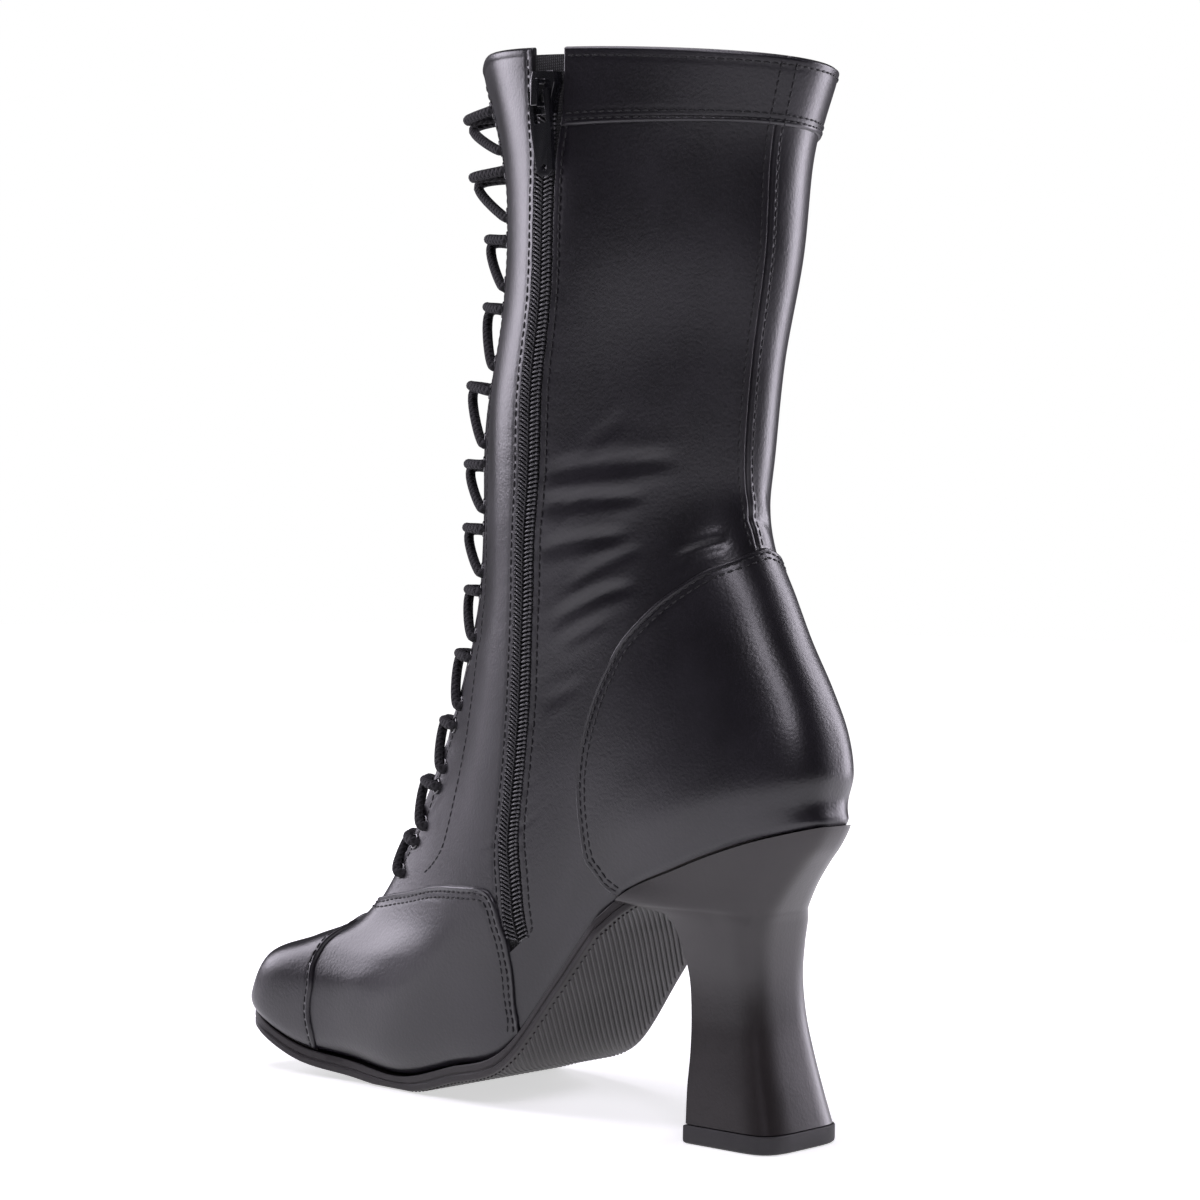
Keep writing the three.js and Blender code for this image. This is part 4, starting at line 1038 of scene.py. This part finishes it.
def drawn_ribs_tree():
    """A round bar along each line of edges."""
    tree, entry, out = growing_tree("drawn ribs", {"Radius": 0.0004})
    path = node(tree, "GeometryNodeMeshToCurve", {"Mesh": entry.outputs["Geometry"]})
    rib = node(tree, "GeometryNodeCurveToMesh", {
        "Curve": path.outputs["Curve"], "Profile Curve": circle(tree, 8, entry.outputs["Radius"]),
        "Fill Caps": True})
    return finish_tree(tree, entry, out, rib.outputs["Mesh"])


beads_tree = placed_beads_tree()


def grown_piece(name, tree, look, sizes, points, along, out, slot, edges=()):
    """Points with their directions, made one plain mesh by a Geometry Nodes tree. Sizes are in millimetres."""
    mesh = bpy.data.meshes.new(name)
    mesh.from_pydata((np.asarray(points) * MM).tolist(), list(edges), [])
    for label, vectors in (("along", along), ("out", out)):
        layer = mesh.attributes.new(label, "FLOAT_VECTOR", "POINT")
        layer.data.foreach_set("vector", np.asarray(vectors, np.float32).ravel())
    piece = bpy.data.objects.new(name, mesh)
    bpy.context.scene.collection.objects.link(piece)
    modifier = piece.modifiers.new("grow", "NODES")
    modifier.node_group = tree
    values = {"Material": look, **{label: size * MM for label, size in sizes.items()}}
    for item in tree.interface.items_tree:
        if item.item_type == "SOCKET" and item.in_out == "INPUT" and item.name in values:
            modifier[item.identifier] = values[item.name]
    piece.update_tag()
    made = bpy.data.meshes.new_from_object(piece.evaluated_get(bpy.context.evaluated_depsgraph_get()))
    piece.modifiers.clear()
    piece.data = made
    finish_piece(piece, "boot")
    return piece


def evenly_spaced(row, turn, offset, pitch):
    """Points at an even pitch along a line on the last, with their directions along it and out of it."""
    path = skin(row, turn, offset)
    run = run_length(path, 0)
    count = max(int(run[-1] / pitch), 2)
    at = (np.arange(count) + 0.5) * run[-1] / count
    points, ahead, behind = (np.stack([np.interp(at + shift, run, path[:, k]) for k in range(3)], -1)
                             for shift in (0, 0.2, -0.2))
    return points, unit(ahead - behind), outward(np.interp(at, run, row), np.interp(at, run, turn))


def joined(places):
    """Points, directions along and directions out, each in one array."""
    return [np.concatenate(column) for column in zip(*places)]


def rim_line(rim, centre, inset):
    """A line that follows a dome's rim, at a distance inside it."""
    count = 400
    share = np.concatenate([np.linspace(0, 1, count), np.linspace(1, 0, count)[1:]])
    sign = np.where(np.arange(len(share)) < count, 1.0, -1.0)
    row, half = rim(share)
    turn = centre + sign * half
    points = last_point(row, turn)
    inwards = np.cross(unit(np.gradient(points, axis=0)), outward(row, turn))
    toward = last_point(np.mean(row) * 0.6, centre) - points
    inwards *= np.sign(np.sum(inwards * toward, -1, keepdims=True))
    up, way = upwards(row, turn), around(row, turn)
    uu, ur, rr = (up * up).sum(-1), (up * way).sum(-1), (way * way).sum(-1)
    wu, wr = (inwards * up).sum(-1) * inset, (inwards * way).sum(-1) * inset
    det = uu * rr - ur * ur
    row, turn = row + (wu * rr - wr * ur) / det, turn + (wr * uu - wu * ur) / det
    keep = row > 0.15
    return row[keep], turn[keep]


stitch_lines = []


def sew(row, turn, offset):
    stitch_lines.append(evenly_spaced(np.asarray(row, float), np.asarray(turn, float), offset, stitch_pitch))


for rim, centre, insets, layer in ((vamp_rim, 1, vamp_stitches, vamp_top), (cap_rim, 1, cap_stitches, cap_top),
                                   (counter_rim, 0, counter_stitches, counter_top)):
    for inset in insets:
        sew(*rim_line(rim, centre, inset), layer + 0.02)
rows = np.linspace(zip_foot - 0.1, 12.9, 300)
sew(rows, zip_turn(rows, -window_half(rows) - zip_stitch_behind), quarter_top + 0.02)
sew(rows, zip_turn(rows, window_half(rows) + zip_stitch_before), quarter_top + 0.02)
rows = np.linspace(7.0, 12.95, 200)
for side in (-seam_stitch, seam_stitch):
    sew(rows, seam_turn(rows, side), np.where(rows > cuff_low_row, cuff_top, quarter_top) + 0.05)
rows = np.linspace(4.8, 12.85, 300)
for side in (-1, 1):
    near, far = throat_stitches
    sew(rows, front_turn(rows, side * (throat_half(rows) + near)), quarter_top + 0.02)
    sew(rows[:-6], front_turn(rows[:-6], side * (throat_half(rows[:-6]) + far)), quarter_top + 0.05)
for low in (*(cuff_low_row + place / cuff_rise for place in cuff_stitches),
            cuff_high_row - collar_stitch / cuff_rise):
    level = np.full(400, low)
    start = zip_turn(level[:1], -window_half(level[:1]) - 1.5)[0]
    end = front_turn(level[:1], -throat_half(level[:1]) - 1.5)[0] - 2
    sew(level, np.linspace(start, end, 400), cuff_top + 0.03)
grown_piece("stitches", beads_tree, thread, {"Length": 2.0, "Width": 0.62, "Height": 0.5}, *joined(stitch_lines),
            "lace_cord")


# Ribs under the sole, slanting across it
def rib_lines():
    """Points and edges of straight lines across the sole's underside, kept inside its outline."""
    points, edges = [], []
    run = np.arange(-120, 120, rib_trim)
    for k in range(-20, 190):
        spots = k * rib_pitch * rib_beside + run[:, None] * rib_way
        x, y = spots[:, 0], spots[:, 1]
        turn = turn_at(x)
        edge = inside_wing(x) - rib_margin
        inside = (y < feather_edge(turn, edge)[:, 1]) & (y > feather_edge(2 - turn, edge)[:, 1])
        inside &= (x > sole_back + 4) & (x < last_rows["front_x"][0] - 0.5)
        ends = np.flatnonzero(np.diff(np.concatenate([[0], inside.astype(int), [0]])))
        for first, past in zip(ends[::2], ends[1::2]):
            if past - first < 4:
                continue
            count = max(int((past - first) * rib_trim / rib_step), 1) + 1
            line = k * rib_pitch * rib_beside + np.linspace(run[first], run[past - 1], count)[:, None] * rib_way
            edges += [(len(points) + i, len(points) + i + 1) for i in range(count - 1)]
            points += [(px, py, float(sole_bottom(px)) + rib_height) for px, py in line]
    return points, edges


rib_spots, rib_edges = rib_lines()
still = np.tile([0.0, 0.0, -1.0], (len(rib_spots), 1))
grown_piece("sole_ribs", drawn_ribs_tree(), sole_rubber, {"Radius": rib_height}, rib_spots, still, still,
            "sole_rubber", rib_edges)


# Zip: tape, teeth, slider and tab
def tape_piece():
    rows = np.linspace(*tape_rows, 160)
    across = np.linspace(-9, 9, 13)
    row = np.broadcast_to(rows[:, None], (len(rows), len(across)))
    turn = zip_turn(row, across[None, :])
    mesh = shell("zip_cloth", skin(row, turn, tape_top), skin(row, turn, tape_top - 0.6), [tape_cloth] * 3)
    layer = mesh.uv_layers.new(name="UVMap")
    place = np.array([v.co for v in mesh.vertices])
    corner = np.empty(len(mesh.loops), int)
    mesh.loops.foreach_get("vertex_index", corner)
    uv = np.stack([place[corner, 0] * 300 + place[corner, 1] * 120, place[corner, 2] * 300], -1)
    layer.data.foreach_set("uv", uv.astype(np.float32).ravel())
    return put("zip_cloth", mesh, "boot", ["zip_tape"])


tape_piece()

tooth_places, end_places = [], []
rows = np.linspace(zip_foot + 0.06, coil_top_row, 500)
for side in (-1, 1):
    spot, way, normal = evenly_spaced(rows, zip_turn(rows), -0.9, tooth_pitch)
    across = np.cross(normal, way) * side
    spot = spot + way * (0.5 * tooth_pitch if side > 0 else 0)
    tooth_places.append((spot + across * 1.55, unit(across + way * 0.45), normal))
    end_places.append((spot + across * 3.15 + way * 0.62, way, normal))
teeth = grown_piece("zip_teeth", beads_tree, coil_plastic, {"Length": 3.9, "Width": 0.78, "Height": 1.7},
                    *joined(tooth_places), "zip_coil")
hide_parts("zip_coil")
grown_piece("zip_teeth_ends", beads_tree, coil_plastic, {"Length": 1.05, "Width": 1.0, "Height": 1.7},
            *joined(end_places), "zip_coil")
grown_piece("zip_thread", beads_tree, thread, {"Length": 1.15, "Width": 0.55, "Height": 0.6},
            *evenly_spaced(rows, zip_turn(rows), -0.25, tooth_pitch), "zip_coil")


def rounded_copy(node_name, name, width, body):
    """An enamelled piece with its solid's own shape and rounded edges."""
    work = bmesh.new()
    work.from_mesh(bpy.data.objects[node_name].data)
    bmesh.ops.remove_doubles(work, verts=work.verts, dist=1e-6)
    bmesh.ops.dissolve_limit(work, angle_limit=math.radians(2), verts=work.verts, edges=work.edges)
    edges = [e for e in work.edges if e.is_manifold and e.calc_face_angle(0) > math.radians(25)]
    bmesh.ops.bevel(work, geom=edges, offset=width * MM, segments=3, profile=0.6, affect="EDGES",
                    clamp_overlap=True)
    mesh = bpy.data.meshes.new(name)
    work.to_mesh(mesh)
    work.free()
    mesh.materials.append(enamel)
    return put(name, smoothed(mesh, 50), body, [node_name])


rounded_copy("zip_slider", "slider_body", 0.3, "boot")
rounded_copy("pull_tab", "tab_plate", 0.25, "tab")


# Lace: two cords for each crossing, in at one eyelet and out at the next, their ends behind the facing.
# Each crossing: its row and how far its loop stands out
crossings = [(5.04, -0.5), (5.64, 0.4), (6.2, 0.6), (7.07, 1.6), (7.86, 2.0), (8.7, 3.6), (9.44, 3.4),
             (10.0, 5.0), (10.77, 3.6), (11.29, 4.6), (11.9, 9.0), (12.47, 7.2)]


def eyelet_rows(k):
    """Rows of a crossing's lower and upper eyelets."""
    row = crossings[k][0]
    below = (crossings[k - 1][0] + row) / 2 if k else row - 0.26
    above = (crossings[k + 1][0] + row) / 2 if k + 1 < len(crossings) else row + 0.24
    return below, above, eyelet_share * (above - below)


def lace_reach(row):
    return float(throat_half(np.array(row)) + eyelet_inset - lace_diameter)


def tube(path, radius, sides=12, per_point=8):
    """Rings of a round cord along a smooth path, and the distance of each along it."""
    s = np.linspace(0, len(path) - 1, (len(path) - 1) * per_point + 1)
    line = smooth_between(path, s)
    way = unit(np.gradient(line, axis=0))
    side = unit(np.cross(way[0], [0.3, 0.2, 1.0]))
    rings = []
    angle = 2 * np.pi * np.arange(sides) / sides
    for p, t in zip(line, way):
        side = unit(side - t * np.dot(side, t))
        other = np.cross(t, side)
        rings.append(p + radius * (np.cos(angle)[:, None] * side + np.sin(angle)[:, None] * other))
    return np.array(rings), run_length(line, 0)


def lace_piece():
    cords = []
    low = lace_diameter / 2
    for k, (row, rise) in enumerate(crossings):
        below, above, inset = eyelet_rows(k)
        reach = lace_reach(row)
        for upper in (True, False):
            near, far = (above - inset, below + inset) if upper else (below + inset, above - inset)
            tip = below + (0.92 if upper else 0.86) * (above - below)
            tip_side, tip_rise = (3.0, rise) if upper else (0.2, rise + 1.6)
            spots = np.array([
                (near, reach * 1.2, -3.6), (near, reach * 1.02, low - 0.9), (tip, tip_side, tip_rise + low),
                (tip + 0.1 * (far - tip), -0.35 * reach, low - 0.3), (far, -reach, low - 1.0),
                (far, -reach * 1.15, -3.6)])
            turn = front_turn(spots[:, 0], spots[:, 1])
            path = last_point(spots[:, 0], turn) + outward(spots[:, 0], turn) * spots[:, 2:3]
            cords.append(tube(path, low))
    points, faces, uvs = [], [], []
    start = 0
    for rings, run in cords:
        n, sides = rings.shape[:2]
        points.append(rings.reshape(-1, 3))
        faces += (np.concatenate(band_faces(sides, n)) + start).tolist()
        wide = 2 * np.pi * low / sides
        for a, b in zip(run[:-1], run[1:]):
            for j in range(sides):
                uvs += [(a, j * wide), (a, (j + 1) * wide), (b, (j + 1) * wide), (b, j * wide)]
        first = list(range(start, start + sides))
        last = list(range(start + (n - 1) * sides, start + n * sides))
        faces += [first[::-1], last]
        uvs += [(0, 0)] * (2 * sides)
        start += n * sides
    mesh = bpy.data.meshes.new("lace")
    mesh.from_pydata((np.concatenate(points) * MM).tolist(), [], faces)
    layer = mesh.uv_layers.new(name="UVMap")
    layer.data.foreach_set("uv", np.array(uvs, np.float32).ravel())
    mesh.materials.append(lace_cord)
    nodes = [f"lace_cross_{k + 1:02d}" for k in range(len(crossings))]
    return put("lace", closed_up(mesh, 60), "boot", nodes)


lace_piece()

eyelets, eyelet_out = [], []
for k, (row, _) in enumerate(crossings):
    below, above, inset = eyelet_rows(k)
    for at in (below + inset, above - inset):
        for side in (1, -1):
            place = np.array([at])
            turn = front_turn(place, side * lace_reach(row) * 1.05)
            layer = cuff_top if side < 0 and at > 12.2 else quarter_top
            eyelets.append(skin(place, turn, layer + 0.1)[0])
            eyelet_out.append(outward(place, turn)[0])
grown_piece("eyelets", placed_rings_tree(), enamel, {"Radius": 2.1, "Thickness": 0.45}, eyelets, eyelet_out,
            eyelet_out, "zip_metal")

# Insole keeps its own solid, with the lining's leather
insole = bpy.data.objects["insole"]
insole.data.materials.clear()
insole.data.materials.append(lining)


def set_down(thing, across, high, back, place):
    """Puts a camera or light at a place in millimetres, by its three axes."""
    turned = np.eye(4)
    turned[:3] = np.column_stack([across, high, back, np.array(place) * MM])
    thing.matrix_world = Matrix(turned.tolist())
    bpy.context.scene.collection.objects.link(thing)


# Camera, by the yaw, pitch and roll in degrees and the place in millimetres
yaw, pitch, roll = math.radians(-48.51), math.radians(-0.47), math.radians(0.75)
camera_place = (-485.4, 620.7, 156.1)
focal_pixels = 2843.2
frame_pixels = 1200
forward = np.array([math.cos(yaw) * math.cos(pitch), math.sin(yaw) * math.cos(pitch), math.sin(pitch)])
right = np.array([math.sin(yaw), -math.cos(yaw), 0.0])
up = np.cross(right, forward)
right, up = right * math.cos(roll) + up * math.sin(roll), up * math.cos(roll) - right * math.sin(roll)
camera_data = bpy.data.cameras.new("camera")
camera_data.sensor_width = 36
camera_data.sensor_fit = "HORIZONTAL"
camera_data.lens = focal_pixels / frame_pixels * 36
camera_data.clip_start = 0.01
camera = bpy.data.objects.new("camera", camera_data)
set_down(camera, right, up, -forward, camera_place)
bpy.context.scene.camera = camera

# Floor and light
floor_mesh = bpy.data.meshes.new("floor")
floor_half = 6.0
floor_mesh.from_pydata([(x * floor_half, y * floor_half, 0) for x, y in ((-1, -1), (1, -1), (1, 1), (-1, 1))], [],
                       [(0, 1, 2, 3)])
floor = bpy.data.objects.new("floor", floor_mesh)
bpy.context.scene.collection.objects.link(floor)
floor_look, floor_tree, floor_shader = material("pale floor", (0.86, 0.86, 0.87), 0.6, Emission_Strength=1.0)
away = node(floor_tree, "ShaderNodeVectorMath", {0: node(floor_tree, "ShaderNodeTexCoord").outputs["Object"]},
            operation="LENGTH").outputs["Value"]


def faded(near, far, low, high):
    """A grey that goes from one value near the boot to another away from it."""
    values = {"Value": away, "From Min": near, "From Max": far, "To Min": low, "To Max": high}
    return node(floor_tree, "ShaderNodeMapRange", values).outputs["Result"]


# Painted light: the floor glows. Seen by the camera it glows less near the boot than away from it, and to all
# other rays it glows near the boot, so that it lights the boot from below.
seen = node(floor_tree, "ShaderNodeLightPath").outputs["Is Camera Ray"]
glow = node(floor_tree, "ShaderNodeMix", {0: seen, 2: faded(0.3, 1.0, 0.55, 0.05), 3: faded(0.15, 0.7, 0.6, 1.05)},
            data_type="FLOAT")
floor_tree.links.new(glow.outputs[0], floor_shader.inputs["Emission Color"])
floor_mesh.materials.append(floor_look)

boot_middle = np.array([45.0, -5.0, 0.0])
aim = np.array([45.0, -5.0, 130.0])


def softbox(name, place, size, power):
    data = bpy.data.lights.new(name, "AREA")
    data.shape = "RECTANGLE"
    data.size, data.size_y = size[0] * MM, size[1] * MM
    data.energy = power
    data.color = (0.93, 0.88, 1.0)
    out = unit(np.array(place, float) - aim)
    across = unit(np.cross([0, 0, 1.0], out))
    set_down(bpy.data.objects.new(name, data), across, np.cross(out, across), out, place)


def beside_view(sideways, back, high):
    """A place by its distance to the image's right, behind the boot and above the floor."""
    spot = boot_middle + sideways * right + back * np.array([forward[0], forward[1], 0])
    return (spot[0], spot[1], high)


softbox("left_softbox", beside_view(-900, 440, 470), (620, 620), 6.6)
softbox("right_softbox", beside_view(850, 430, 330), (360, 1000), 7.5)
softbox("top_softbox", beside_view(-200, 100, 1300), (1000, 800), 9.0)
softbox("front_softbox", beside_view(60, -1000, 1000), (420, 320), 4.2)

# White for the camera, and a faint fill light for everything else
world = bpy.data.worlds.new("studio")
world.use_nodes = True
seen = node(world.node_tree, "ShaderNodeLightPath").outputs["Is Camera Ray"]
strength = node(world.node_tree, "ShaderNodeMapRange", {"Value": seen, "To Min": 0.045, "To Max": 1.0})
background = world.node_tree.nodes["Background"]
background.inputs["Color"].default_value = (1, 1, 1, 1)
world.node_tree.links.new(strength.outputs["Result"], background.inputs["Strength"])
bpy.context.scene.world = world
bpy.context.scene.view_settings.view_transform = "Standard"
